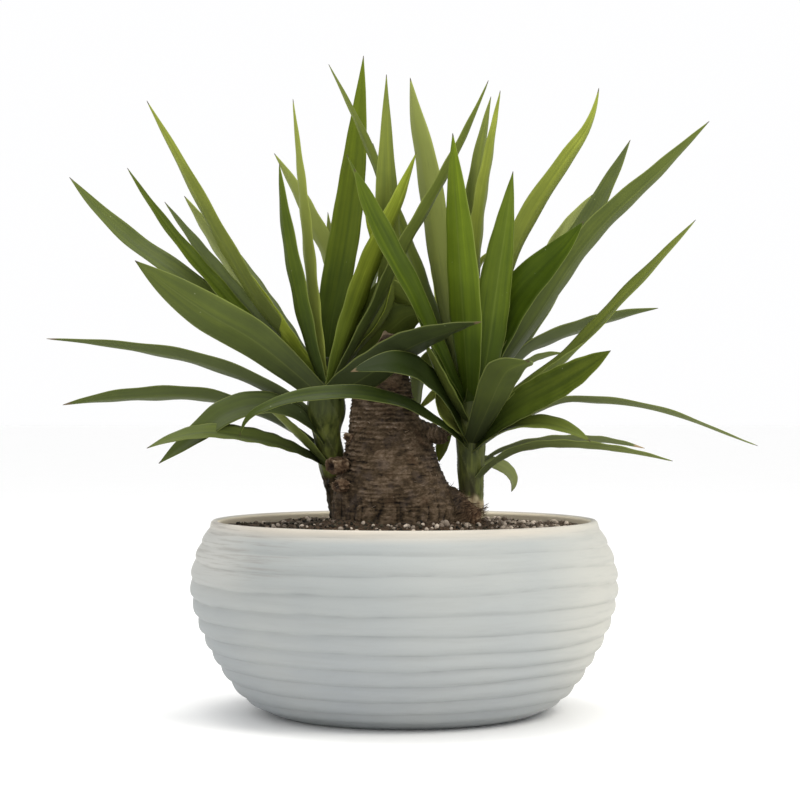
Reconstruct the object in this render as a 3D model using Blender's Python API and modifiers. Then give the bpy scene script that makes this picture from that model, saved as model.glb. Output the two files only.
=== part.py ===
"""Potted yucca: a ribbed planter, its soil, a sawn trunk and two leafy shoots. Metres, +Z up.

The origin is the centre of the planter's flat base. +X is right and -Y is the front, as in the photo.
"""
import math
import random

import bmesh
import bpy
import numpy as np
from mathutils import Vector

# Driving dimensions, in metres.
GAP = 0.0004                 # clearance between pieces that touch
POT_HEIGHT = 0.2245          # floor to the top of the lip
BASE_RADIUS = 0.152          # flat ring that the planter stands on
LIP_RADIUS = 0.2275          # outer radius just under the lip
WALL = 0.010                 # wall and floor thickness
RIB_COUNT = 12               # hand-rolled bands from the base to the lip
RIB_RELIEF = 0.0032          # how far a band swells past the groove under it
LIP_CURVE = [(0.0105, 0.0040), (0.0075, 0.0008), (0.0035, 0.0), (0.0005, 0.0030)]  # inset, drop
POT_STEPS = 36               # facets round the planter
DRAIN_RADIUS = 0.006         # each drainage hole
DRAIN_CIRCLE = 0.070         # circle that the drainage holes sit on
DRAIN_COUNT = 4
DRAIN_SIDES = 14
SOIL_TOP = 0.2145            # soil surface, 10 mm under the lip
SOIL_RINGS = 5               # steps of the soil surface from the centre to the wall
SOIL_SWELL = 0.0012          # lumps in the soil surface
PEBBLES = 32
PEBBLE_RADII = (0.0028, 0.0050)
PEBBLE_FREE = (0.105, 0.085) # no pebbles this near the trunk, across and in depth
TRUNK_FOOT = 0.150           # underside of the trunk, in the soil
TRUNK_SIDES = 28
TRUNK_FLATTEN = 0.86         # front-to-back size over width
STEM_SIDES = 14
BLADE_EDGE = 0.0007          # blade thickness at its margins
BLADE_RIB = 0.0017           # blade thickness at its midline
BLADE_CHANNEL = 0.13         # sag of the midline over the blade's width
BLADE_TIP = 0.0016           # blunt width left at a tip
BLADE_STEPS = 5              # steps along a straight blade
BLADE_BEND = 30              # degrees of bend that add one step
BLADE_SOLVER = "MANIFOLD"    # joins the blades of a shoot; EXACT leaves touching slivers

# Where the photo was taken from. A leaf's points say what x and z the viewer sees on the
# plane through the planter's axis, and how far behind (+) or before (-) that plane they lie.
VIEW_X = -0.0041
VIEW_HEIGHT = 0.363
VIEW_DISTANCE = 2.5

# Body curve of the planter, as radius and height, from the base ring to the lip.
POT_BODY = [(0.152, 0.0), (0.187, 0.0205), (0.2185, 0.062), (0.239, 0.104),
            (0.2485, 0.150), (0.2465, 0.172), (0.2385, 0.196), (0.2275, 0.217)]

# The trunk and the flare at its foot, as height, centre x and half width.
TRUNK_SHAPE = [(0.150, -0.011, 0.070), (0.214, -0.011, 0.072), (0.232, -0.011, 0.0725),
               (0.256, -0.0125, 0.069), (0.282, -0.0165, 0.0610), (0.300, -0.0165, 0.0545),
               (0.318, -0.018, 0.050), (0.336, -0.021, 0.044), (0.353, -0.026, 0.038),
               (0.371, -0.027, 0.035), (0.398, -0.026, 0.031), (0.424, -0.026, 0.029)]
TRUNK_LUMPS = 0.035          # bark lumps, as a share of the half width
TRUNK_CUT_LOW = 0.398        # left end of the sawn top
TRUNK_CUT_HIGH = 0.444       # right end of the sawn top
TRUNK_CUT_SLOPE = 1.45
FLARE = [(0.150, 0.058, 0.020), (0.214, 0.062, 0.029), (0.235, 0.063, 0.028),
         (0.251, 0.067, 0.0235), (0.262, 0.063, 0.0145)]
FLARE_SIDES = 16

# Knobs and the broken side branch, as x, depth, height and radius.
KNOBS = [(-0.077, -0.026, 0.2885, 0.0130), (-0.073, -0.034, 0.2655, 0.0092),
         (-0.0620, -0.014, 0.3210, 0.0075)]
BRANCH_START = (0.006, -0.004, 0.332)
BRANCH_END = (0.052, -0.002, 0.3215)
BRANCH_RADIUS = 0.0094

# Stems, as seen x, seen z, depth and radius.
LEFT_STEM = [(-0.0720, 0.170, 0.048, 0.0130), (-0.0740, 0.225, 0.046, 0.0130),
             (-0.0785, 0.258, 0.038, 0.0142), (-0.0835, 0.282, 0.027, 0.0153),
             (-0.0872, 0.300, 0.018, 0.0160), (-0.0915, 0.328, 0.007, 0.0168),
             (-0.0920, 0.350, 0.002, 0.0225), (-0.0920, 0.368, 0.000, 0.0210),
             (-0.0910, 0.392, 0.000, 0.0115), (-0.0900, 0.415, 0.000, 0.0040)]
RIGHT_STEM = [(0.0800, 0.226, 0.002, 0.0134), (0.0790, 0.250, 0.001, 0.0138),
              (0.0785, 0.290, 0.000, 0.0158), (0.0780, 0.320, 0.000, 0.0170),
              (0.0770, 0.350, 0.000, 0.0175), (0.0770, 0.380, 0.000, 0.0120),
              (0.0770, 0.410, 0.000, 0.0040)]

# Leaves. Each row is the blade's width, the share of that width that faces the viewer
# (below 0 where the underside shows), where along it the blade is widest, how full it stays
# towards the tip, its twist in degrees, and its line from root to tip as seen x, seen z, depth.
LEAVES_LEFT = [
    (0.030, -0.51, 0.50, 2.2, -30, [(-.090, .330, .005), (-.138, .368, -.002), (-.222, .407, -.010),
     (-.346, .431, -.018), (-.421, .437, -.022)]),
    (0.034, -0.50, 0.60, 2.2, 0, [(-.088, .300, .018), (-.167, .350, .030), (-.222, .369, .038),
     (-.310, .372, .050), (-.402, .359, .060)]),
    (0.038, 0.74, 0.45, 2.2, 0, [(-.092, .316, -.003), (-.118, .345, -.015), (-.157, .362, -.032),
     (-.205, .354, -.055), (-.245, .325, -.075), (-.289, .290, -.090)]),
    (0.026, -0.36, 0.45, 2.2, 0, [(-.087, .284, .014), (-.127, .328, -.002), (-.150, .349, -.008),
     (-.172, .364, -.012)]),
    (0.034, 0.47, 0.45, 2.2, 0, [(-.085, .285, .024), (-.110, .300, .004), (-.145, .315, -.030),
     (-.187, .325, -.060), (-.240, .328, -.088), (-.303, .308, -.110)]),
    (0.046, -0.97, 0.55, 2.2, 0, [(-.092, .364, -.004), (-.135, .403, -.040), (-.178, .437, -.070),
     (-.231, .468, -.105), (-.317, .529, -.150)]),
    (0.036, 0.60, 0.62, 2.2, 0, [(-.094, .368, .006), (-.181, .447, .028), (-.251, .506, .048),
     (-.318, .553, .065), (-.394, .627, .080)]),
    (0.032, 0.48, 0.45, 2.2, 0, [(-.094, .373, .000), (-.160, .433, -.008), (-.214, .494, -.015),
     (-.277, .568, -.024), (-.326, .638, -.030)]),
    (0.032, 0.50, 0.50, 2.2, 0, [(-.094, .376, .008), (-.167, .457, .032), (-.202, .498, .045),
     (-.235, .538, .058), (-.282, .598, .072)]),
    (0.036, -0.54, 0.62, 2.2, 0, [(-.093, .384, .008), (-.150, .453, .055), (-.185, .499, .075),
     (-.211, .536, .092), (-.259, .605, .118)]),
    (0.034, -0.50, 0.45, 2.2, 0, [(-.092, .384, .003), (-.134, .436, .010), (-.172, .485, .014),
     (-.212, .552, .018), (-.264, .647, .022), (-.303, .717, .025)]),
    (0.032, -0.48, 0.50, 2.2, 0, [(-.092, .384, -.003), (-.147, .455, .012), (-.190, .524, .030)]),
    (0.034, -0.40, 0.30, 2.2, 0, [(-.092, .384, -.004), (-.105, .470, -.012), (-.113, .549, -.016),
     (-.122, .635, -.021), (-.131, .719, -.025)]),
    (0.036, -0.50, 0.50, 2.2, 0, [(-.089, .386, .008), (-.080, .480, .055), (-.092, .547, .078),
     (-.102, .566, .084), (-.118, .597, .096), (-.153, .655, .122)]),
    (0.040, 0.92, 0.38, 2.0, 0, [(-.090, .378, .003), (-.090, .447, .018), (-.080, .504, .032),
     (-.068, .575, .052), (-.056, .675, .076), (-.048, .770, .098)]),
    (0.036, -0.52, 0.40, 2.2, 0, [(-.094, .380, -.006), (-.115, .453, -.026), (-.125, .500, -.033),
     (-.136, .556, -.042), (-.147, .643, -.050)]),
    (0.034, 0.48, 0.45, 2.2, 0, [(-.090, .386, .008), (-.086, .494, .070), (-.090, .586, .110)]),
    (0.038, -0.65, 0.42, 2.2, 0, [(-.089, .372, -.004), (-.077, .421, -.015), (-.060, .474, -.019),
     (-.043, .522, -.022), (-.005, .608, -.024), (.014, .656, -.020)]),
    (0.032, -0.44, 0.45, 2.2, 0, [(-.089, .372, -.006), (-.056, .437, -.022), (-.031, .482, -.025),
     (-.022, .503, -.026), (-.004, .542, -.030), (.036, .612, -.030), (.070, .677, -.028),
     (.099, .741, -.024)]),
    (0.034, 0.45, 0.66, 2.2, 0, [(-.088, .378, .002), (-.062, .424, .010), (-.034, .462, .014),
     (-.024, .494, .015), (-.024, .524, .016), (-.036, .560, .018), (-.048, .597, .022)]),
    (0.042, -0.72, 0.55, 1.2, 0, [(-.088, .384, .002), (-.060, .430, .003), (-.037, .459, .004),
     (-.019, .500, .006), (-.020, .560, .008), (-.021, .630, .009), (-.021, .748, .010)]),
    (0.062, -0.92, 0.55, 3.0, 0, [(-.088, .366, .004), (-.060, .408, .040), (-.018, .450, .045),
     (.004, .465, .042), (.028, .464, .036)]),
    (0.050, -0.80, 0.35, 3.6, 40, [(-.089, .368, -.008), (-.073, .380, -.028), (-.053, .392, -.045),
     (-.030, .408, -.055), (.000, .429, -.070), (.040, .446, -.098), (.091, .457, -.124)]),
    (0.034, -0.75, 0.72, 2.2, 0, [(-.087, .386, .004), (-.060, .440, .012), (-.038, .478, .015),
     (-.020, .495, .015), (-.002, .487, .014), (.013, .473, .012)]),
    (0.040, 0.80, 0.45, 2.2, 0, [(-.090, .378, .006), (-.084, .470, .080), (-.076, .560, .150),
     (-.068, .640, .230)]),
    (0.038, 0.60, 0.45, 2.2, 0, [(-.092, .362, .008), (-.150, .420, .080), (-.200, .455, .150),
     (-.235, .462, .220)]),
    (0.038, 0.60, 0.45, 2.2, 0, [(-.092, .374, .008), (-.140, .445, .080), (-.175, .500, .150),
     (-.200, .545, .215)]),
    (0.038, 0.60, 0.45, 2.2, 0, [(-.089, .372, .008), (-.062, .450, .080), (-.042, .510, .150),
     (-.030, .560, .220)]),
    (0.038, 0.60, 0.45, 2.2, 0, [(-.091, .340, .008), (-.100, .390, .090), (-.110, .420, .170),
     (-.118, .415, .250)]),
    (0.042, 0.55, 0.62, 3.0, 0, [(-.088, .358, .008), (-.058, .414, .048), (-.022, .440, .076),
     (.000, .440, .096), (.009, .418, .112), (.011, .392, .124), (.009, .362, .132)]),
    (0.036, 0.60, 0.45, 2.2, 0, [(-.093, .362, .008), (-.190, .447, .110), (-.260, .500, .190)]),
]
LEAVES_RIGHT = [
    (0.028, 0.50, 0.42, 2.2, 0, [(.078, .306, -.003), (.043, .338, -.050), (-.004, .364, -.085),
     (-.051, .374, -.108), (-.110, .372, -.128), (-.157, .360, -.140), (-.184, .344, -.146),
     (-.194, .322, -.148)]),
    (0.030, 0.75, 0.72, 2.6, 0, [(.077, .350, -.005), (.046, .417, -.042), (.027, .459, -.056),
     (.012, .494, -.066), (-.008, .530, -.076), (-.020, .553, -.080), (-.036, .585, -.086),
     (-.059, .637, -.092)]),
    (0.028, 0.50, 0.50, 2.2, 0, [(.077, .356, -.003), (.050, .409, -.034), (.028, .455, -.050),
     (.000, .510, -.063), (-.024, .560, -.069), (-.044, .603, -.073), (-.068, .654, -.077)]),
    (0.036, 0.42, 0.40, 2.2, 0, [(.076, .366, .004), (.049, .430, .025), (.031, .477, .036),
     (.016, .518, .042), (.000, .559, .046), (-.038, .655, .044), (-.089, .760, .036)]),
    (0.034, 0.42, 0.45, 2.2, 0, [(.076, .368, .006), (.048, .430, .056), (.012, .512, .070),
     (-.013, .590, .075), (-.037, .667, .078)]),
    (0.042, -0.70, 0.50, 2.6, 0, [(.076, .374, .006), (.051, .483, .035), (.042, .541, .048),
     (.033, .602, .060), (.025, .650, .070), (.014, .700, .080), (.007, .744, .090)]),
    (0.042, -0.87, 0.38, 2.2, 0, [(.077, .360, -.006), (.071, .483, -.062), (.066, .553, -.072),
     (.062, .600, -.078), (.057, .679, -.086)]),
    (0.038, -0.56, 0.45, 2.2, 0, [(.078, .378, .004), (.076, .480, .020), (.077, .560, .032),
     (.085, .632, .042), (.102, .722, .055)]),
    (0.036, -0.43, 0.50, 2.2, 0, [(.078, .374, -.002), (.080, .470, .000), (.082, .530, .002),
     (.089, .600, .003), (.098, .650, .003), (.113, .729, .002)]),
    (0.044, -0.92, 0.40, 1.8, 0, [(.079, .352, -.006), (.094, .410, -.028), (.103, .473, -.040),
     (.111, .528, -.046), (.118, .571, -.048), (.128, .634, -.048)]),
    (0.040, -0.56, 0.50, 2.2, 0, [(.079, .368, -.003), (.099, .459, -.004), (.137, .566, .002),
     (.189, .648, .003), (.215, .686, .002), (.229, .732, .000)]),
    (0.048, 0.88, 0.50, 2.2, 0, [(.079, .350, -.004), (.109, .446, -.014), (.135, .493, -.026),
     (.160, .520, -.034), (.188, .548, -.042), (.211, .575, -.048)]),
    (0.040, 0.56, 0.60, 2.2, 0, [(.079, .368, .003), (.131, .447, .028), (.179, .527, .045),
     (.221, .587, .060), (.236, .614, .066), (.266, .671, .080)]),
    (0.040, -0.62, 0.45, 2.2, 0, [(.079, .360, -.002), (.142, .449, -.010), (.219, .561, -.014),
     (.303, .640, -.009), (.359, .693, .000)]),
    (0.038, -0.56, 0.50, 2.2, 0, [(.079, .368, .004), (.124, .441, .038), (.159, .510, .060),
     (.187, .562, .080), (.222, .607, .098)]),
    (0.032, 0.41, 0.60, 2.2, 0, [(.078, .324, -.004), (.119, .366, -.024), (.181, .411, -.028),
     (.259, .490, -.035), (.343, .577, -.040)]),
    (0.036, -0.43, 0.45, 2.2, 0, [(.079, .348, .004), (.119, .399, .028), (.150, .429, .042),
     (.182, .443, .056), (.219, .456, .072), (.299, .473, .100)]),
    (0.022, -0.26, 0.45, 2.2, 0, [(.079, .342, .005), (.124, .394, .045), (.152, .413, .072),
     (.187, .420, .105)]),
    (0.028, -0.38, 0.55, 2.2, 0, [(.078, .318, -.005), (.136, .371, -.042), (.166, .395, -.052),
     (.212, .433, -.064)]),
    (0.046, 0.77, 0.52, 2.8, 0, [(.078, .310, -.004), (.125, .354, -.060), (.163, .376, -.088),
     (.183, .386, -.102), (.216, .405, -.125), (.243, .423, -.145)]),
    (0.022, -0.28, 0.60, 2.2, 50, [(.079, .306, -.003), (.117, .332, -.004), (.148, .350, .000),
     (.187, .365, .006), (.231, .365, .013), (.290, .357, .022), (.337, .343, .030), (.384, .324, .036),
     (.416, .311, .040)]),
    (0.030, 0.41, 0.50, 2.2, 0, [(.079, .302, -.005), (.110, .328, -.045), (.138, .339, -.072),
     (.168, .339, -.095), (.195, .331, -.112), (.219, .316, -.126)]),
    (0.026, -0.30, 0.50, 2.2, 0, [(.079, .284, .002), (.119, .309, .012), (.161, .318, .026),
     (.202, .320, .040), (.243, .317, .052), (.283, .308, .062)]),
    (0.026, -0.33, 0.50, 2.2, 0, [(.079, .262, -.003), (.104, .291, -.016), (.125, .304, -.020),
     (.155, .312, -.026), (.202, .313, -.034), (.261, .306, -.043), (.316, .293, -.050)]),
    (0.022, 0.60, 0.62, 2.6, 0, [(.079, .297, .004), (.095, .294, .008), (.109, .290, .012),
     (.122, .283, .016), (.129, .272, .018), (.126, .257, .020)]),
    (0.042, -0.92, 0.70, 5.0, 0, [(.078, .312, -.006), (.091, .342, -.060), (.102, .367, -.105),
     (.112, .390, -.150), (.124, .407, -.195), (.147, .411, -.240)]),
    (0.028, -0.34, 0.45, 2.2, 0, [(.077, .334, -.005), (.045, .392, -.046), (.021, .440, -.062)]),
    (0.028, -0.34, 0.45, 2.2, 0, [(.077, .346, -.002), (.053, .388, .000), (.029, .438, .008)]),
    (0.024, -0.40, 0.45, 2.2, 0, [(.078, .374, .006), (.086, .480, .060), (.090, .528, .075),
     (.105, .542, .082)]),
    (0.014, -0.34, 0.50, 2.2, 0, [(.077, .318, .004), (.054, .362, .018), (.039, .374, .026),
     (.027, .364, .030), (.015, .351, .036)]),
    (0.042, 0.45, 0.45, 2.2, 0, [(.077, .316, -.005), (.063, .345, -.028), (.050, .371, -.044),
     (.035, .388, -.063), (.017, .402, -.084), (-.004, .409, -.104), (-.045, .404, -.128),
     (-.063, .398, -.136)]),
    (0.046, 0.56, 0.50, 2.2, 0, [(.077, .326, -.004), (.062, .343, -.016), (.046, .362, -.024),
     (.042, .390, -.030)]),
    (0.040, 0.80, 0.45, 2.2, 0, [(.077, .366, .006), (.070, .470, .090), (.065, .560, .160),
     (.062, .620, .235)]),
    (0.038, 0.60, 0.45, 2.2, 0, [(.077, .368, .006), (.050, .470, .100), (.038, .560, .180),
     (.032, .625, .250)]),
    (0.038, 0.60, 0.45, 2.2, 0, [(.079, .358, .006), (.115, .440, .090), (.145, .495, .160),
     (.170, .530, .230)]),
    (0.038, 0.60, 0.45, 2.2, 0, [(.079, .360, .006), (.140, .440, .100), (.190, .520, .180),
     (.230, .565, .250)]),
    (0.038, 0.60, 0.45, 2.2, 0, [(.079, .324, .006), (.130, .362, .090), (.170, .385, .170),
     (.200, .390, .250)]),
    (0.032, 0.60, 0.62, 3.0, 0, [(.077, .340, .006), (.054, .392, .040), (.034, .412, .060),
     (.019, .398, .072), (.013, .366, .082), (.008, .326, .088)]),
    (0.018, 0.85, 0.72, 2.2, 0, [(.077, .318, .008), (.062, .334, .028), (.053, .334, .036),
     (.047, .320, .040), (.041, .292, .042)]),
    (0.038, 0.60, 0.45, 2.2, 0, [(.078, .364, .006), (.092, .440, .100), (.103, .500, .180),
     (.110, .545, .250)]),
]


def clear_scene():
    """Remove what the scene already holds."""
    for found in list(bpy.data.objects):
        bpy.data.objects.remove(found, do_unlink=True)


def new_collection(name):
    """A collection linked to the scene."""
    made = bpy.data.collections.new(name)
    bpy.context.scene.collection.children.link(made)
    return made


def new_material(name, colour, roughness, metallic=0.0):
    """A Principled material of one colour."""
    material = bpy.data.materials.new(name)
    material.use_nodes = True
    shader = material.node_tree.nodes["Principled BSDF"]
    shader.inputs["Base Color"].default_value = (*colour, 1.0)
    shader.inputs["Roughness"].default_value = roughness
    shader.inputs["Metallic"].default_value = metallic
    return material


def add_object(name, mesh, collection, material=None):
    """An object for a mesh, in a collection."""
    made = bpy.data.objects.new(name, mesh)
    collection.objects.link(made)
    if material:
        mesh.materials.clear()
        mesh.materials.append(material)
    return made


def guide(made):
    """Mark a cutter or a piece that is about to be joined."""
    made.hide_render = True
    made.display_type = "WIRE"
    return made


def bake(made):
    """Replace an object's mesh by what its modifiers make of it."""
    graph = bpy.context.evaluated_depsgraph_get()
    mesh = bpy.data.meshes.new_from_object(made.evaluated_get(graph))
    made.modifiers.clear()
    made.data = mesh
    return made


def boolean(made, operation, operand, solver="EXACT"):
    """Join or cut with one object or with a whole collection, and apply it."""
    change = made.modifiers.new(operation.title(), "BOOLEAN")
    change.operation = operation
    change.solver = solver
    if isinstance(operand, bpy.types.Collection):
        change.operand_type = "COLLECTION"
        change.collection = operand
    else:
        change.object = operand
    return bake(made)


def remove_collection(collection):
    """Remove a collection and its objects."""
    for found in list(collection.objects):
        bpy.data.objects.remove(found, do_unlink=True)
    bpy.data.collections.remove(collection)


def loft(name, rings):
    """A closed mesh through rings of equal count, each quad split alike, with flat fans as caps."""
    rings = np.asarray(rings, float)
    count, sides = rings.shape[:2]
    points = [tuple(p) for ring in rings for p in ring]
    points += [tuple(rings[0].mean(axis=0)), tuple(rings[-1].mean(axis=0))]
    foot, head = count * sides, count * sides + 1
    faces = []
    for i in range(count - 1):
        for k in range(sides):
            a, b = i * sides + k, i * sides + (k + 1) % sides
            faces += [(a, b, b + sides), (a, b + sides, a + sides)]
    for k in range(sides):
        last = (count - 1) * sides
        faces.append((foot, (k + 1) % sides, k))
        faces.append((head, last + k, last + (k + 1) % sides))
    mesh = bpy.data.meshes.new(name)
    mesh.from_pydata(points, [], faces)
    shape = bmesh.new()
    shape.from_mesh(mesh)
    bmesh.ops.recalc_face_normals(shape, faces=shape.faces)
    shape.to_mesh(mesh)
    shape.free()
    return mesh


def keep_outer_body(made):
    """Drop loose scraps and fill hollows that a union sealed: only the largest body of faces stays."""
    shape = bmesh.new()
    shape.from_mesh(made.data)
    bodies = []
    left = set(shape.verts)
    while left:
        body, front = set(), [left.pop()]
        while front:
            vertex = front.pop()
            body.add(vertex)
            near = {e.other_vert(vertex) for e in vertex.link_edges} & left
            left -= near
            front += near
        bodies.append(body)
    bodies.sort(key=len)
    for body in bodies[:-1]:
        bmesh.ops.delete(shape, geom=list(body), context="VERTS")
    shape.to_mesh(made.data)
    shape.free()
    return len(bodies) - 1


def seen_at(x, z, depth):
    """The point at this depth that the viewer sees at x, z on the plane through the axis."""
    scale = 1.0 + depth / VIEW_DISTANCE
    return np.array([VIEW_X + (x - VIEW_X) * scale, depth, VIEW_HEIGHT + (z - VIEW_HEIGHT) * scale])


def curve_points(points, t):
    """Cubic Hermite curve through the points at shares t of its chord length."""
    points = np.asarray(points, float)
    steps = np.linalg.norm(np.diff(points, axis=0), axis=1)
    s = np.concatenate([[0.0], np.cumsum(steps)]) / steps.sum()
    slope = np.gradient(points, s, axis=0, edge_order=2)
    i = np.clip(np.searchsorted(s, t, side="right") - 1, 0, len(points) - 2)
    h = (s[i + 1] - s[i])[:, None]
    u = (t - s[i])[:, None] / h
    near = (2 * u**3 - 3 * u**2 + 1) * points[i] + (u**3 - 2 * u**2 + u) * h * slope[i]
    far = (3 * u**2 - 2 * u**3) * points[i + 1] + (u**3 - u**2) * h * slope[i + 1]
    return near + far


def unit(v):
    """Vectors scaled to length 1."""
    return v / np.linalg.norm(v, axis=-1, keepdims=True)


def blade_frames(points, t, roll, twist):
    """Middle, side and upper direction along a blade that starts with its channel up."""
    middle = curve_points(points, t)
    small = 0.002
    ahead = curve_points(points, np.minimum(t + small, 1))
    back = curve_points(points, np.maximum(t - small, 0))
    along = unit(ahead - back)
    outward = (points[-1] - points[0]) * (1, 1, 0)
    side = np.cross((0, 0, 1), unit(outward))
    side = unit(side - (along @ side)[:, None] * along)
    upper = np.cross(along, side)
    angle = (roll + np.radians(twist) * (t - 0.4))[:, None]
    side = side * np.cos(angle) + upper * np.sin(angle)
    return middle, along, side, np.cross(along, side)


def roll_for(points, shows, at, twist):
    """Smallest roll that turns this share of the blade's width to the viewer, 0 meaning channel up."""
    middle, along, side, upper = (v[0] for v in blade_frames(points, np.array([at]), 0.0, twist))
    toward = unit(np.array([VIEW_X, -VIEW_DISTANCE, VIEW_HEIGHT]) - middle)
    across = unit(np.cross(toward, along))
    behind = np.cross(along, across)
    rolls = []
    for flip in (1, -1):
        for lean in (1, -1):
            turned = flip * (across * abs(shows) + lean * behind * math.sqrt(1 - shows * shows))
            if (np.cross(along, turned) @ toward) * shows > 0:
                rolls.append(math.atan2(turned @ upper, turned @ side))
    return min(rolls, key=abs)


def blade_half_width(t, width, peak, fullness):
    """Half width along a blade: a narrow neck, the widest place at peak, then a long taper."""
    rise = 0.5 + 0.5 * np.sin(math.pi / 2 * np.clip(t / peak, 0, 1)) ** 1.5
    fall = 1 - np.clip((t - peak) / (1 - peak), 0, 1) ** fullness
    half = width / 2 * np.where(t < peak, rise, fall)
    return np.maximum(half, BLADE_TIP / 2)


def blade_steps(points):
    """More steps along a blade that bends more."""
    along = unit(np.diff(points, axis=0))
    bend = np.degrees(np.arccos(np.clip((along[1:] * along[:-1]).sum(axis=1), -1, 1))).sum()
    return BLADE_STEPS + int(bend // BLADE_BEND)


def blade_mesh(name, width, shows, peak, fullness, twist, line):
    """A channelled blade with a real thickness, lofted along its line."""
    points = np.array([seen_at(*p) for p in line])
    t = np.linspace(0, 1, blade_steps(points) + 1)
    roll = roll_for(points, shows, peak, twist)
    middle, along, side, upper = blade_frames(points, t, roll, twist)
    half = blade_half_width(t, width, peak, fullness)[:, None]
    sag = 2 * BLADE_CHANNEL * half * upper
    margin, rib = upper * BLADE_EDGE / 2, upper * BLADE_RIB / 2
    left, right, bed = middle - side * half, middle + side * half, middle - sag
    ring = [left - margin, bed - rib, right - margin, right + margin, bed + rib, left + margin]
    return loft(name, np.stack(ring, axis=1))


def stem_mesh(name, stations, grow=0.0):
    """A round stem through seen stations of x, z, depth and radius."""
    points = np.array([seen_at(*s[:3]) for s in stations])
    radii = np.array([s[3] for s in stations]) + grow
    across, behind = np.array([1.0, 0, 0]), np.array([0, 1.0, 0])
    turn = np.arange(STEM_SIDES) * 2 * math.pi / STEM_SIDES
    circle = np.cos(turn)[:, None] * across + np.sin(turn)[:, None] * behind
    return loft(name, points[:, None] + radii[:, None, None] * circle)


def shoot(name, stem, leaves, collection, material):
    """A leafy shoot: the stem with every blade's root sunk in it, as one body."""
    blades = new_collection(name + "_blades")
    for k, row in enumerate(leaves):
        blade = f"{name}_blade_{k}"
        guide(add_object(blade, blade_mesh(blade, *row), blades))
    made = add_object(name, stem_mesh(name, stem), collection, material)
    boolean(made, "UNION", blades, BLADE_SOLVER)
    remove_collection(blades)
    dropped = keep_outer_body(made)
    print(f"{name}: {len(leaves)} blades, {len(made.data.polygons)} faces, {dropped} scraps dropped")
    made.data.materials.clear()
    made.data.materials.append(material)
    return made


def bark_rings(shape, grow=0.0, sides=TRUNK_SIDES):
    """Rings of the trunk or of its flare, lumpy above the soil and plain in it."""
    turn = np.arange(sides) * 2 * math.pi / sides
    rings = []
    for height, centre, half in shape:
        lump = TRUNK_LUMPS if height > SOIL_TOP + 0.005 else 0.0
        wave = np.sin(3 * turn + 41 * height) * 0.6 + np.sin(5 * turn - 63 * height) * 0.4
        radius = (half + grow) * (1 + lump * wave)
        x = centre + radius * np.cos(turn)
        y = radius * TRUNK_FLATTEN * np.sin(turn)
        rings.append(np.stack([x, y, np.full(sides, height)], axis=1))
    return np.array(rings)


def sawn_top(rings):
    """Slope the topmost ring like the slanting saw cut, and the two under it less."""
    for share, ring in zip((0.25, 0.6, 1.0), rings[-3:]):
        left = ring[:, 0].min()
        cut = np.minimum(TRUNK_CUT_LOW + TRUNK_CUT_SLOPE * (ring[:, 0] - left), TRUNK_CUT_HIGH)
        ring[:, 2] += share * (cut - ring[:, 2])
    return rings


def trunk(collection, material, scratch, stems):
    """The sawn trunk with its flare, knobs and broken branch, cut clear of both stems."""
    made = add_object("trunk", loft("trunk", sawn_top(bark_rings(TRUNK_SHAPE))), collection, material)
    extras = new_collection("trunk_extras")
    add_object("flare", loft("flare", bark_rings(FLARE, sides=FLARE_SIDES)), extras)
    for x, y, z, radius in KNOBS:
        bpy.ops.mesh.primitive_ico_sphere_add(subdivisions=2, radius=radius, location=(x, y, z))
        move_to(bpy.context.object, extras)
    start, end = Vector(BRANCH_START), Vector(BRANCH_END)
    middle = (start + end) / 2
    bpy.ops.mesh.primitive_cone_add(vertices=12, radius1=BRANCH_RADIUS * 1.5, radius2=BRANCH_RADIUS,
                                    depth=(end - start).length, location=middle)
    branch = bpy.context.object
    branch.rotation_euler = (end - start).to_track_quat("Z", "Y").to_euler()
    move_to(branch, extras)
    boolean(made, "UNION", extras)
    remove_collection(extras)
    for name, stem in stems:
        socket = guide(add_object(name, stem_mesh(name, stem, GAP), scratch))
        boolean(made, "DIFFERENCE", socket)
    dropped = keep_outer_body(made)
    print(f"trunk: {len(made.data.polygons)} faces, {dropped} scraps dropped")
    made.data.materials.clear()
    made.data.materials.append(material)
    return made


def move_to(made, collection):
    """Put an object that an operator added in one collection only."""
    for held in list(made.users_collection):
        held.objects.unlink(made)
    collection.objects.link(made)


def pot_outline():
    """Outer wall from the lip down to the base, as bands that swell past the groove under them."""
    body = np.array(POT_BODY)
    t = np.linspace(0, 1, RIB_COUNT + 1)
    grooves = curve_points(body, t)
    outline = []
    for low, high in zip(grooves[:-1], grooves[1:]):
        step = high - low
        out = np.array([step[1], -step[0]]) / np.linalg.norm(step)
        outline += [low, low + 0.10 * step + out * RIB_RELIEF * 0.75, low + 0.5 * step + out * RIB_RELIEF]
    outline.append(grooves[-1])
    return [(r, max(z, 0.0)) for r, z in outline[::-1]]


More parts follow.
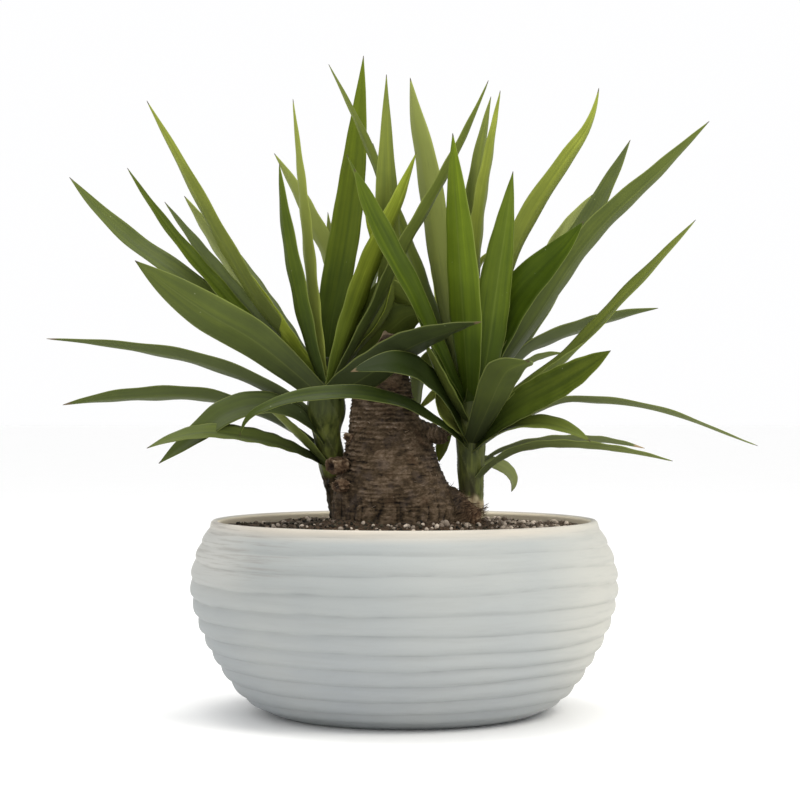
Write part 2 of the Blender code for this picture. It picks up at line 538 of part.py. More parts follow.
def pot(collection, material):
    """The planter: a turned profile with a rolled lip, a flat base and drainage holes."""
    outer = pot_outline()
    inner_body = [(r - WALL, z) for r, z in POT_BODY if z > WALL]
    lip = [(LIP_RADIUS - inset, POT_HEIGHT - drop) for inset, drop in LIP_CURVE]
    inner = [(0.0, WALL), (BASE_RADIUS, WALL)] + inner_body[:-1]
    profile = inner + lip + outer + [(0.0, 0.0)]
    made = turned("pot", profile, collection, material)
    bake(made)
    drill = new_collection("pot_drills")
    for k in range(DRAIN_COUNT):
        turn = math.radians(45 + 360 * k / DRAIN_COUNT)
        place = (DRAIN_CIRCLE * math.cos(turn), DRAIN_CIRCLE * math.sin(turn), WALL / 2)
        bpy.ops.mesh.primitive_cylinder_add(vertices=DRAIN_SIDES, radius=DRAIN_RADIUS,
                                            depth=WALL * 3, location=place)
        move_to(guide(bpy.context.object), drill)
    boolean(made, "DIFFERENCE", drill)
    remove_collection(drill)
    made.data.set_sharp_from_angle(angle=math.radians(35))
    return made


def turned(name, profile, collection, material):
    """A profile of radius and height turned round the axis, closed on it."""
    mesh = bpy.data.meshes.new(name)
    edges = [(i, i + 1) for i in range(len(profile) - 1)]
    mesh.from_pydata([(r, 0.0, z) for r, z in profile], edges, [])
    made = add_object(name, mesh, collection, material)
    screw = made.modifiers.new("Turn", "SCREW")
    screw.steps = POT_STEPS
    screw.render_steps = POT_STEPS
    screw.use_merge_vertices = True
    screw.merge_threshold = 0.00005
    screw.use_normal_calculate = True
    return made


def soil(collection, material, scratch):
    """The soil fills the planter up to 10 mm under the lip, with pebbles and a plain hole for the trunk."""
    rng = random.Random(7)
    wall = [(r - WALL - GAP, z) for r, z in POT_BODY if WALL < z < SOIL_TOP - WALL]
    rim = LIP_RADIUS - WALL - GAP
    profile = [(rim * k / SOIL_RINGS, SOIL_TOP) for k in range(SOIL_RINGS + 1)] + wall[::-1]
    profile += [(BASE_RADIUS - GAP, WALL + GAP), (0.0, WALL + GAP)]
    made = turned("soil", profile, collection, material)
    bake(made)
    for vertex in made.data.vertices:
        x, y, z = vertex.co
        inside = math.hypot(x, y) < rim - 0.004
        if z > SOIL_TOP - 0.001 and inside:
            vertex.co.z += SOIL_SWELL * (math.sin(61 * x + 17 * y) + math.cos(53 * y - 23 * x))
    stones = new_collection("soil_stones")
    placed = []
    while len(placed) < PEBBLES:
        turn, reach = rng.uniform(0, 2 * math.pi), (rim - 0.010) * math.sqrt(rng.random())
        x, y = reach * math.cos(turn), reach * math.sin(turn)
        radius = rng.uniform(*PEBBLE_RADII)
        on_foot = (x / PEBBLE_FREE[0]) ** 2 + (y / PEBBLE_FREE[1]) ** 2 < 1
        crowded = any(math.hypot(x - u, y - v) < radius + w + 0.001 for u, v, w in placed)
        if on_foot or crowded:
            continue
        placed.append((x, y, radius))
        bpy.ops.mesh.primitive_ico_sphere_add(subdivisions=1, radius=radius,
                                              location=(x, y, SOIL_TOP + 0.001),
                                              rotation=(rng.uniform(0, 3), rng.uniform(0, 3), 0))
        move_to(guide(bpy.context.object), stones)
    boolean(made, "UNION", stones)
    remove_collection(stones)
    foot_shapes = [("trunk_hole", bark_rings(hole_shape(TRUNK_SHAPE), GAP)),
                   ("flare_hole", bark_rings(hole_shape(FLARE), GAP, FLARE_SIDES))]
    for name, rings in foot_shapes:
        boolean(made, "DIFFERENCE", guide(add_object(name, loft(name, rings), scratch)))
    hole = guide(add_object("stem_hole", stem_mesh("stem_hole", lowered(LEFT_STEM), GAP), scratch))
    boolean(made, "DIFFERENCE", hole)
    dropped = keep_outer_body(made)
    print(f"soil: {len(placed)} pebbles, {len(made.data.polygons)} faces, {dropped} scraps dropped")
    made.data.materials.clear()
    made.data.materials.append(material)
    return made


def hole_shape(shape):
    """The part of the trunk in the soil, a little deeper, carried straight up past the surface."""
    (_, x0, r0), (_, x1, r1) = shape[:2]
    return [(TRUNK_FOOT - GAP, x0, r0), (SOIL_TOP, x1, r1), (SOIL_TOP + 0.0049, x1, r1)]


def lowered(stem):
    """The part of a stem in the soil, a little deeper, up to just above the surface."""
    x, z, depth, radius = stem[0]
    return [(x, z - GAP, depth, radius)] + list(stem[1:2])


clear_scene()
parts = new_collection("potted_yucca")
cutters = new_collection("cutters")
clay = new_material("pale_clay", (0.56, 0.57, 0.54), 0.62)
earth = new_material("dark_soil", (0.060, 0.045, 0.032), 0.95)
bark = new_material("bark", (0.115, 0.080, 0.058), 0.88)
leaf = new_material("green_leaf", (0.115, 0.165, 0.035), 0.42)
pot(parts, clay)
soil(parts, earth, cutters)
trunk(parts, bark, cutters, [("left_socket", LEFT_STEM), ("right_socket", RIGHT_STEM)])
shoot("shoot_left", LEFT_STEM, LEAVES_LEFT, parts, leaf)
shoot("shoot_right", RIGHT_STEM, LEAVES_RIGHT, parts, leaf)
remove_collection(cutters)
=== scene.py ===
# %% [markdown]
# # A potted yucca
#
# The real thing is a woody yucca cane, sawn off years ago, that has pushed out two leafy
# shoots. It grows in a wide bowl planter with hand-rolled bands. Its solids are already made
# and packed. This lesson dresses them: finer surfaces, and a finish for each of them.

# %% The fixed frame
import math

import bmesh
import bpy
import numpy as np
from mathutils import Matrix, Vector


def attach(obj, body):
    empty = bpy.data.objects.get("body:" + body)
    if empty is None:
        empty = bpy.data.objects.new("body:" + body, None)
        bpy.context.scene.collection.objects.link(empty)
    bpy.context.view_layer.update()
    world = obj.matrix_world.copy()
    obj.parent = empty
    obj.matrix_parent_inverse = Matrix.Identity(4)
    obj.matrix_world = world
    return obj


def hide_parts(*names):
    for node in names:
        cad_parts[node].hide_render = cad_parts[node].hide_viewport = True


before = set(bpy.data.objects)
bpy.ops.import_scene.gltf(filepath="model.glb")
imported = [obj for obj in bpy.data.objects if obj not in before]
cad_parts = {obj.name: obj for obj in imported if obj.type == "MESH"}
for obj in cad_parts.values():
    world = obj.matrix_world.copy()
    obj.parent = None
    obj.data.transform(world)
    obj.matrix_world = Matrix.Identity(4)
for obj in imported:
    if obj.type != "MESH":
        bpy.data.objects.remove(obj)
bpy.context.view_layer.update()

print("nodes:", ", ".join(sorted(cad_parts)))

# %% [markdown]
# The camera stands where the photograph was taken from. The ellipse of the planter's lip gives
# its height and distance, and the picture's scale gives the focal length. A level camera with
# a small shift keeps upright things upright, which turning the camera down would not.

# %% Camera
FRAME_PX = 800                # side of the picture
SENSOR = 36.0                 # mm
FOCAL_PX = 2124.3             # focal length in pixels of the picture
CENTRE_RIGHT_PX = 0.8         # how far right of the picture's middle the lens looks
HORIZON_DOWN_PX = 1.6         # how far under the picture's middle the horizon lies
VIEW_X, VIEW_HEIGHT, VIEW_DISTANCE = -0.0041, 0.363, 2.5

def placed(name, data):
    """A new object in the scene that holds this data."""
    made = bpy.data.objects.new(name, data)
    bpy.context.scene.collection.objects.link(made)
    return made


lens = bpy.data.cameras.new("photo_view")
lens.sensor_width = SENSOR
lens.lens = FOCAL_PX * SENSOR / FRAME_PX
lens.shift_x = -CENTRE_RIGHT_PX / FRAME_PX
lens.shift_y = HORIZON_DOWN_PX / FRAME_PX
camera = placed("photo_view", lens)
camera.location = (VIEW_X, -VIEW_DISTANCE, VIEW_HEIGHT)
camera.rotation_euler = (math.radians(90), 0, 0)
bpy.context.scene.camera = camera
print(f"lens {lens.lens:.1f} mm")

# %% [markdown]
# The light is that of a bright, pale studio: a soft window-like key from the upper right, a
# broad one overhead, and a pale world that shows white behind the leaves and fills the shadows.
# The lamps are large, so that the shadows between the leaves stay soft.

# %% Light and floor
CROWN_FOOT = (0.0, 0.0, 0.30)       # what the lamps are aimed at

def area_light(name, place, size, watts, tint):
    """A square lamp at a place, turned to face the foot of the crowns."""
    lamp = bpy.data.lights.new(name, "AREA")
    lamp.size, lamp.energy, lamp.color = size, watts, tint
    held = placed(name, lamp)
    held.location = place
    held.rotation_euler = (Vector(CROWN_FOOT) - Vector(place)).to_track_quat("-Z", "Y").to_euler()


area_light("key", (1.7, -1.4, 2.0), 1.1, 34, (1.0, 0.97, 0.91))
area_light("top", (-0.2, 0.3, 2.6), 1.6, 40, (1.0, 0.99, 0.96))

world = bpy.data.worlds.new("pale_studio")
world.use_nodes = True
backdrop = world.node_tree.nodes["Background"].inputs
backdrop["Color"].default_value = (0.995, 0.995, 1.0, 1)
backdrop["Strength"].default_value = 1.0
bpy.context.scene.world = world
bpy.context.scene.view_settings.view_transform = "Standard"

FLOOR_HALF = 30.0             # m

def new_mesh(name, points, faces):
    """A mesh of these points and faces."""
    mesh = bpy.data.meshes.new(name)
    mesh.from_pydata(points, [], faces)
    return mesh


corners = [(x * FLOOR_HALF, y * FLOOR_HALF, 0.0) for x, y in ((-1, -1), (1, -1), (1, 1), (-1, 1))]
floor_mesh = new_mesh("floor", corners, [(0, 1, 2, 3)])
floor = placed("floor", floor_mesh)
print("lights:", len(bpy.data.lights))

# %% [markdown]
# A finish is a small sum over positions: darker where a groove is deep, warmer near the lip.
# Blender holds such sums as nodes. The class below wraps a node's socket, so that a sum can
# be written as Python arithmetic, and each operator adds the Math node that it stands for.

# %% Shader arithmetic
class Shade:
    """A shader value. Arithmetic on it adds Math nodes to its tree."""

    def __init__(self, tree, socket=None):
        self.tree, self.socket = tree, socket

    def node(self, kind, sockets=None, out=0, **settings):
        """A node of a type: its settings first, then the values or links of its sockets."""
        made = self.tree.nodes.new("ShaderNode" + kind)
        for name, value in settings.items():
            setattr(made, name, value)
        for name, value in (sockets or {}).items():
            if isinstance(value, Shade):
                self.tree.links.new(value.socket, made.inputs[name])
            else:
                made.inputs[name].default_value = value
        return Shade(self.tree, made.outputs[out])

    def maths(self, operation, *values):
        """A Math node on these values."""
        return self.node("Math", dict(enumerate(values)), operation=operation)

    def __add__(self, other): return self.maths("ADD", self, other)
    def __radd__(self, other): return self.maths("ADD", other, self)
    def __sub__(self, other): return self.maths("SUBTRACT", self, other)
    def __rsub__(self, other): return self.maths("SUBTRACT", other, self)
    def __mul__(self, other): return self.maths("MULTIPLY", self, other)
    def __rmul__(self, other): return self.maths("MULTIPLY", other, self)
    def __pow__(self, other): return self.maths("POWER", self, other)
    def __abs__(self): return self.maths("ABSOLUTE", self)

    def ramp(self, low, high):
        """0 below low, 1 above high, and a smooth rise between them. Low may be the larger."""
        sockets = {"Value": self, "From Min": low, "From Max": high}
        return self.node("MapRange", sockets, interpolation_type="SMOOTHSTEP")

    def part(self, letter):
        """The X, Y or Z part of a vector."""
        return self.node("SeparateXYZ", {0: self}, "XYZ".index(letter))

    def stepped(self, *stops):
        """A colour by these stops, each a place from 0 to 1 and its colour."""
        made = self.node("ValToRGB", {0: self})
        held = made.socket.node.color_ramp.elements
        while len(held) < len(stops):
            held.new(1.0)
        for stop, (place, colour) in zip(held, stops):
            stop.position, stop.color = place, (*colour, 1.0)
        return made


def noise(at, scale, detail=4.0, roughness=0.55, stretch=(1, 1, 1)):
    """Soft noise, 0 to 1, of this many waves a metre, squeezed along an axis by its stretch."""
    held = at.node("Mapping", {"Vector": at, "Scale": stretch})
    sockets = {"Vector": held, "Scale": scale, "Detail": detail, "Roughness": roughness}
    return at.node("TexNoise", sockets, "Fac")


def blend(share, low, high, way="MIX"):
    """A colour mixed from two, by a share from 0 to 1."""
    low, high = [(*c, 1.0) if isinstance(c, tuple) else c for c in (low, high)]
    sockets = {0: share, 6: low, 7: high}      # by number, as each kind of data has its own sockets
    return share.node("Mix", sockets, 2, data_type="RGBA", blend_type=way, clamp_factor=True)


def coats(colour, *layers):
    """Coats laid over a colour in turn, each a share from 0 to 1 and its own colour."""
    for share, tone in layers:
        colour = blend(share, colour, tone)
    return colour


def finish_material(name, specular):
    """A new material: its object coordinates, its Principled sockets, and the material itself."""
    material = bpy.data.materials.new(name)
    material.use_nodes = True
    sockets = material.node_tree.nodes["Principled BSDF"].inputs
    sockets["Specular IOR Level"].default_value = specular
    return Shade(material.node_tree).node("TexCoord", out="Object"), sockets, material


def feed(sockets, **links):
    """Link shades to Principled sockets, named with _ for a space."""
    for name, shade in links.items():
        shade.tree.links.new(shade.socket, sockets[name.replace("_", " ")])


def bump(height, depth, strength=1.0):
    """A normal from a height of 0 to 1 that stands for this depth in metres."""
    return height.node("Bump", {"Height": height, "Distance": depth, "Strength": strength})


def stored(start, name):
    """A vector that the mesh carries under this name."""
    return start.node("Attribute", out="Vector", attribute_name=name)

print("shader arithmetic ready")

# %% The floor's finish
place, sockets, floor_finish = finish_material("pale_floor", specular=0.5)
sockets["Roughness"].default_value = 0.75
feed(sockets, Base_Color=blend(noise(place, 3.0), (0.975, 0.975, 0.97), (0.995, 0.995, 0.99)))
floor_mesh.materials.append(floor_finish)
print("floor finish:", floor_finish.name)

# %% [markdown]
# Every new piece is a closed tube of some kind: a ring of points carried along a line, with a
# flat cap on the first and on the last ring. So one helper turns grids of rings into a mesh.
# It also turns a tube inside out where its signed volume comes out below zero.

# %% Meshes from grids
def xyz(x, y=0.0, z=0.0):
    """Vectors of three parts that broadcast."""
    return np.stack(np.broadcast_arrays(x, y, z), axis=-1)


def round_turn(count):
    """Angles of this many points spread evenly round a ring."""
    return np.arange(count) * 2 * math.pi / count


def turned(radius, height, turn):
    """Points (r cos a, r sin a, z) round the axis."""
    return xyz(radius * np.cos(turn), radius * np.sin(turn), height)


def tube_faces(rows, columns):
    """Quads (i, k), (i, k+1), (i+1, k+1), (i+1, k) of rings that close round, k counted round."""
    i, k = np.meshgrid(np.arange(rows - 1), np.arange(columns), indexing="ij")
    a, b = i * columns + k, i * columns + (k + 1) % columns
    return np.stack([a, b, b + columns, a + columns], axis=-1).reshape(-1, 4)


def signed_volume(points, quads):
    """A sixth of the sum of a . (b x c) over the two triangles of each quad."""
    a, b, c, d = (points[quads[:, i]] for i in range(4))
    return (np.einsum("ij,ij->i", a, np.cross(b, c)) + np.einsum("ij,ij->i", a, np.cross(c, d))).sum() / 6


def joined(tubes):
    """The points and faces of closed tubes, each an array (rings, round, 3), right side out."""
    points, faces, count = [], [], 0
    for tube in tubes:
        rows, columns = tube.shape[:2]
        flat, quads = tube.reshape(-1, 3), tube_faces(rows, columns)
        caps = [np.arange(columns)[::-1], np.arange(columns) + (rows - 1) * columns]
        if signed_volume(flat - flat.mean(axis=0), quads) < 0:
            quads, caps = quads[:, ::-1], [cap[::-1] for cap in caps]
        points.append(flat)
        faces += (quads + count).tolist() + [(cap + count).tolist() for cap in caps]
        count += len(flat)
    return np.concatenate(points).tolist(), faces


def dress(name, shape, material, slot, replaced, **extras):
    """A smooth-shaded object from points and faces, which rides on the root body and stands for a
    node. Its mesh carries extra vectors for each point, given as arrays like those of the points."""
    points, faces = shape
    mesh = new_mesh(name, points, faces)
    for extra, values in extras.items():
        held = mesh.attributes.new(extra, "FLOAT_VECTOR", "POINT")
        held.data.foreach_set("vector", np.concatenate([v.reshape(-1, 3) for v in values]).ravel())
    mesh.materials.append(material)
    mesh.shade_smooth()
    made = placed(name, mesh)
    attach(made, "root")
    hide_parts(replaced)
    print(f"{name}: {sum(len(face) - 2 for face in faces)} triangles")
    return made


LATTICE_SIDE = 32
LATTICE = np.random.default_rng(5).random((LATTICE_SIDE,) * 3)

def lumps(points, size, seed=0):
    """Value noise, -1 to 1: random values at the corners of cells of this size, blended by
    3f^2 - 2f^3 of the position f in the cell."""
    spot = np.asarray(points) / size + 7.31 * seed
    cell = np.floor(spot).astype(int)
    f = spot - cell
    f = f * f * (3 - 2 * f)
    total = 0.0
    for corner in np.ndindex(2, 2, 2):
        share = np.prod(np.where(corner, f, 1 - f), axis=-1)
        i, j, k = np.moveaxis((cell + corner) % LATTICE_SIDE, -1, 0)
        total = total + share * LATTICE[i, j, k]
    return 2 * total - 1

print("mesh helpers ready")

# %% [markdown]
# Yucca leaves are long, stiff swords with a shallow channel along the middle. Each one here is
# a line of a few points from its root to its tip, said as the viewer sees them plus a depth, so
# a leaf lies where it does in the picture and still leans towards or away from the viewer.
#
# A row is the blade's width, the share of it that faces the viewer (below 0 where the underside
# shows), and where it is widest from 0 at the root to 1 at the tip. Then come its greenness (0
# dark and bluish, 1 bright and yellow) and its paleness (below 0 vivid), and three numbers for
# each point: seen x, seen z and depth. Greenness and paleness are partly the leaf's own colour
# and partly painted light: low greenness paints shade on leaves that lie in shadow, paleness
# paints a grey sheen, and vivid paints a glow of light through the leaf. Lengths in the rows are
# in millimetres. Where a row goes on, it says how far the tip has dried, the twist in degrees and
# the fullness.

# %% Leaf lines
LEAVES_LEFT = [
    (30, -.51, .5, .24, .2, [-90,330,5, -138,368,-2, -222,407,-10, -346,431,-18, -421,437,-22], .03, -30),
    (34, -.5, .6, .27, .1, [-88,300,18, -167,350,30, -222,369,38, -310,372,50, -402,359,60], .03),
    (38, .74, .45, .18, .16, [-92,316,-3, -118,345,-15, -157,362,-32, -205,354,-55, -245,325,-75,
     -289,290,-90]),
    (26, -.36, .45, .74, .34, [-87,284,14, -127,328,-2, -150,349,-8, -172,364,-12]),
    (34, .47, .45, .36, .25, [-85,285,24, -110,300,4, -145,315,-30, -187,325,-60, -240,328,-88,
     -303,308,-110]),
    (46, -.97, .55, .34, .1, [-92,364,-4, -135,403,-40, -178,437,-70, -231,468,-105, -317,529,-150]),
    (36, .6, .62, .37, .14, [-94,368,6, -181,447,28, -251,506,48, -318,553,65, -394,627,80]),
    (32, .48, .45, .34, -.04, [-94,373,0, -160,433,-8, -214,494,-15, -277,568,-24, -326,638,-30]),
    (32, .5, .5, .2, .16, [-94,376,8, -167,457,32, -202,498,45, -235,538,58, -282,598,72]),
    (36, -.54, .62, .82, .62, [-93,384,8, -150,453,55, -185,499,75, -211,536,92, -259,605,118]),
    (34, -.5, .45, .8, .2, [-92,384,3, -134,436,10, -172,485,14, -212,552,18, -264,647,22, -303,717,25]),
    (32, -.48, .5, 1.02, -.05, [-92,384,-3, -147,455,12, -190,524,30]),
    (34, -.4, .3, 1.6, .42, [-92,384,-4, -105,470,-12, -113,549,-16, -122,635,-21, -131,719,-25]),
    (36, -.5, .5, 1.3, .6, [-89,386,8, -80,480,55, -92,547,78, -102,566,84, -118,597,96, -153,655,122]),
    (40, .92, .38, .58, -.07, [-90,378,3, -90,447,18, -80,504,32, -68,575,52, -56,675,76,
     -48,770,98], .01, 0, 2),
    (36, -.52, .4, .44, -.1, [-94,380,-6, -115,453,-26, -125,500,-33, -136,556,-42, -147,643,-50]),
    (34, .48, .45, .74, .2, [-90,386,8, -86,494,70, -90,586,110]),
    (38, -.65, .42, .82, -.06, [-89,372,-4, -77,421,-15, -60,474,-19, -43,522,-22, -5,608,-24,
     14,656,-20]),
    (32, -.44, .45, .45, .03, [-89,372,-6, -56,437,-22, -31,482,-25, -22,503,-26, -4,542,-30, 36,612,-30,
     70,677,-28, 99,741,-24]),
    (34, .45, .66, .88, -.06, [-88,378,2, -62,424,10, -34,462,14, -24,494,15, -24,524,16, -36,560,18,
     -48,597,22]),
    (42, -.72, .55, .7, .15, [-88,384,2, -60,430,3, -37,459,4, -19,500,6, -20,560,8, -21,630,9,
     -21,748,10], .01, 0, 1.2),
    (62, -.92, .55, .34, 0, [-88,366,4, -60,408,40, -18,450,45, 4,465,42, 28,464,36], .01, 0, 3),
    (50, -.8, .35, -.06, 0, [-89,368,-8, -73,380,-28, -53,392,-45, -30,408,-55, 0,429,-70, 40,446,-98,
     91,457,-124], .03, 40, 3.6),
    (34, -.75, .72, .42, .02, [-87,386,4, -60,440,12, -38,478,15, -20,495,15, -2,487,14, 13,473,12]),
    (40, .8, .45, .35, .1, [-90,378,6, -84,470,80, -76,560,150, -68,640,230]),
    (38, .6, .45, .3, .1, [-92,362,8, -150,420,80, -200,455,150, -235,462,220]),
    (38, .6, .45, .35, .1, [-92,374,8, -140,445,80, -175,500,150, -200,545,215]),
    (38, .6, .45, .35, .1, [-89,372,8, -62,450,80, -42,510,150, -30,560,220]),
    (38, .6, .45, .2, .1, [-91,340,8, -100,390,90, -110,420,170, -118,415,250]),
    (42, .55, .62, .1, .02, [-88,358,8, -58,414,48, -22,440,76, 0,440,96, 9,418,112, 11,392,124,
     9,362,132], .01, 0, 3),
    (36, .6, .45, .3, .1, [-93,362,8, -190,447,110, -260,500,190]),
]
LEAVES_RIGHT = [
    (28, .5, .42, .1, 0, [78,306,-3, 43,338,-50, -4,364,-85, -51,374,-108, -110,372,-128, -157,360,-140,
     -184,344,-146, -194,322,-148]),
    (30, .75, .72, .38, -.1, [77,350,-5, 46,417,-42, 27,459,-56, 12,494,-66, -8,530,-76, -20,553,-80,
     -36,585,-86, -59,637,-92], .01, 0, 2.6),
    (28, .5, .5, .36, -.08, [77,356,-3, 50,409,-34, 28,455,-50, 0,510,-63, -24,560,-69, -44,603,-73,
     -68,654,-77]),
    (36, .42, .4, .54, .16, [76,366,4, 49,430,25, 31,477,36, 16,518,42, 0,559,46, -38,655,44,
     -89,760,36]),
    (34, .42, .45, .3, .1, [76,368,6, 48,430,56, 12,512,70, -13,590,75, -37,667,78]),
    (42, -.7, .5, 1.06, .7, [76,374,6, 51,483,35, 42,541,48, 33,602,60, 25,650,70, 14,700,80,
     7,744,90], .01, 0, 2.6),
    (42, -.87, .38, .62, -.13, [77,360,-6, 71,483,-62, 66,553,-72, 62,600,-78, 57,679,-86]),
    (38, -.56, .45, .62, .2, [78,378,4, 76,480,20, 77,560,32, 85,632,42, 102,722,55]),
    (36, -.43, .5, .8, .1, [78,374,-2, 80,470,0, 82,530,2, 89,600,3, 98,650,3, 113,729,2]),
    (44, -.92, .4, .48, -.11, [79,352,-6, 94,410,-28, 103,473,-40, 111,528,-46, 118,571,-48,
     128,634,-48], .01, 0, 1.8),
    (40, -.56, .5, .8, .1, [79,368,-3, 99,459,-4, 137,566,2, 189,648,3, 215,686,2, 229,732,0]),
    (48, .88, .5, .31, -.13, [79,350,-4, 109,446,-14, 135,493,-26, 160,520,-34, 188,548,-42,
     211,575,-48]),
    (40, .56, .6, .32, .2, [79,368,3, 131,447,28, 179,527,45, 221,587,60, 236,614,66, 266,671,80]),
    (40, -.62, .45, .4, .08, [79,360,-2, 142,449,-10, 219,561,-14, 303,640,-9, 359,693,0]),
    (38, -.56, .5, 1.08, .85, [79,368,4, 124,441,38, 159,510,60, 187,562,80, 222,607,98]),
    (32, .41, .6, .67, .22, [78,324,-4, 119,366,-24, 181,411,-28, 259,490,-35, 343,577,-40]),
    (36, -.43, .45, .2, .14, [79,348,4, 119,399,28, 150,429,42, 182,443,56, 219,456,72, 299,473,100]),
    (22, -.26, .45, .36, .1, [79,342,5, 124,394,45, 152,413,72, 187,420,105]),
    (28, -.38, .55, .42, .12, [78,318,-5, 136,371,-42, 166,395,-52, 212,433,-64]),
    (46, .77, .52, .34, 0, [78,310,-4, 125,354,-60, 163,376,-88, 183,386,-102, 216,405,-125,
     243,423,-145], .01, 0, 2.8),
    (22, -.28, .6, .46, .5, [79,306,-3, 117,332,-4, 148,350,0, 187,365,6, 231,365,13, 290,357,22,
     337,343,30, 384,324,36, 416,311,40], .01, 50),
    (30, .41, .5, .52, .2, [79,302,-5, 110,328,-45, 138,339,-72, 168,339,-95, 195,331,-112,
     219,316,-126], .02),
    (26, -.3, .5, .34, .5, [79,284,2, 119,309,12, 161,318,26, 202,320,40, 243,317,52, 283,308,62], .06),
    (26, -.33, .5, .52, .45, [79,262,-3, 104,291,-16, 125,304,-20, 155,312,-26, 202,313,-34, 261,306,-43,
     316,293,-50]),
    (22, .6, .62, .8, .98, [79,297,4, 95,294,8, 109,290,12, 122,283,16, 129,272,18,
     126,257,20], .01, 0, 2.6),
    (42, -.92, .7, .23, .08, [78,312,-6, 91,342,-60, 102,367,-105, 112,390,-150, 124,407,-195,
     147,411,-240], .01, 0, 5),
    (28, -.34, .45, .52, .15, [77,334,-5, 45,392,-46, 21,440,-62]),
    (28, -.34, .45, .35, .1, [77,346,-2, 53,388,0, 29,438,8]),
    (24, -.4, .45, .8, .15, [78,374,6, 86,480,60, 90,528,75, 105,542,82]),
    (14, -.34, .5, .98, .4, [77,318,4, 54,362,18, 39,374,26, 27,364,30, 15,351,36]),
    (42, .45, .45, -.12, 0, [77,316,-5, 63,345,-28, 50,371,-44, 35,388,-63, 17,402,-84, -4,409,-104,
     -45,404,-128, -63,398,-136], .03),
    (46, .56, .5, 1.1, .6, [77,326,-4, 62,343,-16, 46,362,-24, 42,390,-30]),
    (40, .8, .45, .45, .1, [77,366,6, 70,470,90, 65,560,160, 62,620,235]),
    (38, .6, .45, 1.6, .3, [77,368,6, 50,470,100, 38,560,180, 32,625,250]),
    (38, .6, .45, .4, .1, [79,358,6, 115,440,90, 145,495,160, 170,530,230]),
    (38, .6, .45, .28, .05, [79,360,6, 140,440,100, 190,520,180, 230,565,250]),
    (38, .6, .45, .25, .1, [79,324,6, 130,362,90, 170,385,170, 200,390,250]),
    (32, .6, .62, .5, .02, [77,340,6, 54,392,40, 34,412,60, 19,398,72, 13,366,82, 8,326,88], .01, 0, 3),
    (18, .85, .72, .62, .1, [77,318,8, 62,334,28, 53,334,36, 47,320,40, 41,292,42]),
    (38, .6, .45, .4, .1, [78,364,6, 92,440,100, 103,500,180, 110,545,250]),
]
LEFT_STEM = [(-0.0720, 0.170, 0.048, 0.0130), (-0.0740, 0.225, 0.046, 0.0130),
             (-0.0785, 0.258, 0.038, 0.0142), (-0.0835, 0.282, 0.027, 0.0153),
             (-0.0872, 0.300, 0.018, 0.0160), (-0.0915, 0.328, 0.007, 0.0168),
             (-0.0920, 0.350, 0.002, 0.0225), (-0.0920, 0.368, 0.000, 0.0210),
             (-0.0910, 0.392, 0.000, 0.0115), (-0.0900, 0.415, 0.000, 0.0040)]
RIGHT_STEM = [(0.0800, 0.226, 0.002, 0.0134), (0.0790, 0.250, 0.001, 0.0138),
              (0.0785, 0.290, 0.000, 0.0158), (0.0780, 0.320, 0.000, 0.0170),
              (0.0770, 0.350, 0.000, 0.0175), (0.0770, 0.380, 0.000, 0.0120),
              (0.0770, 0.410, 0.000, 0.0040)]
print("leaves:", len(LEAVES_LEFT), "left and", len(LEAVES_RIGHT), "right")

# %% [markdown]
# A curve that passes through every point is the easiest to place. A cubic Hermite curve
# does, and its slopes come from the neighbouring points. The blade then needs a sideways
# direction at every step: it starts level, with the channel up, and is rolled about the line
# by the smallest angle that shows the wanted share of the blade to the viewer.

# %% Lines and directions
def seen_at(x, z, depth):
    """The point at this depth on the ray through x, z of the plane through the axis."""
    scale = 1.0 + depth / VIEW_DISTANCE
    return np.array([VIEW_X + (x - VIEW_X) * scale, depth, VIEW_HEIGHT + (z - VIEW_HEIGHT) * scale])


def chord_shares(points):
    """The share of the summed chord length at each point of a line."""
    steps = np.linalg.norm(np.diff(points, axis=0), axis=1)
    return np.concatenate([[0.0], np.cumsum(steps)]) / steps.sum()


def curve_points(points, t):
    """Cubic Hermite curve through the points, t being the share of the summed chord length."""
    points = np.asarray(points, float)
    s = chord_shares(points)
    slope = np.gradient(points, s, axis=0, edge_order=2)
    i = np.clip(np.searchsorted(s, t, side="right") - 1, 0, len(points) - 2)
    h = (s[i + 1] - s[i])[:, None]
    u = (t - s[i])[:, None] / h
    near = (2 * u**3 - 3 * u**2 + 1) * points[i] + (u**3 - 2 * u**2 + u) * h * slope[i]
    far = (3 * u**2 - 2 * u**3) * points[i + 1] + (u**3 - u**2) * h * slope[i + 1]
    return near + far


def unit(v):
    """Vectors divided by their length."""
    return v / np.linalg.norm(v, axis=-1, keepdims=True)


def blade_frames(points, t, roll, twist):
    """Middle, line direction, side and upper side along a blade: the side is z x outward, made
    square to the line, then turned about the line by roll + twist (t - 0.4)."""
    small = 0.002
    ahead, back = np.minimum(t + small, 1), np.maximum(t - small, 0)
    along = unit(curve_points(points, ahead) - curve_points(points, back))
    side = np.cross((0, 0, 1), unit((points[-1] - points[0]) * (1, 1, 0)))
    side = unit(side - (along @ side)[:, None] * along)
    upper = np.cross(along, side)
    angle = (roll + np.radians(twist) * (t - 0.4))[:, None]
    side = side * np.cos(angle) + upper * np.sin(angle)
    return curve_points(points, t), along, side, np.cross(along, side)


def roll_for(points, shows, at, twist):
    """Smallest roll that turns this share of the blade's width to the viewer."""
    middle, along, side, upper = (v[0] for v in blade_frames(points, np.array([at]), 0.0, twist))
    toward = unit(np.array([VIEW_X, -VIEW_DISTANCE, VIEW_HEIGHT]) - middle)
    across = unit(np.cross(toward, along))
    behind = np.cross(along, across)
    rolls = []
    for flip, lean in ((1, 1), (1, -1), (-1, 1), (-1, -1)):
        way = flip * (across * abs(shows) + lean * behind * math.sqrt(1 - shows * shows))
        if (np.cross(along, way) @ toward) * shows > 0:
            rolls.append(math.atan2(way @ upper, way @ side))
    return min(rolls, key=abs)


TIP = 0.0006                  # blunt width left at a tip

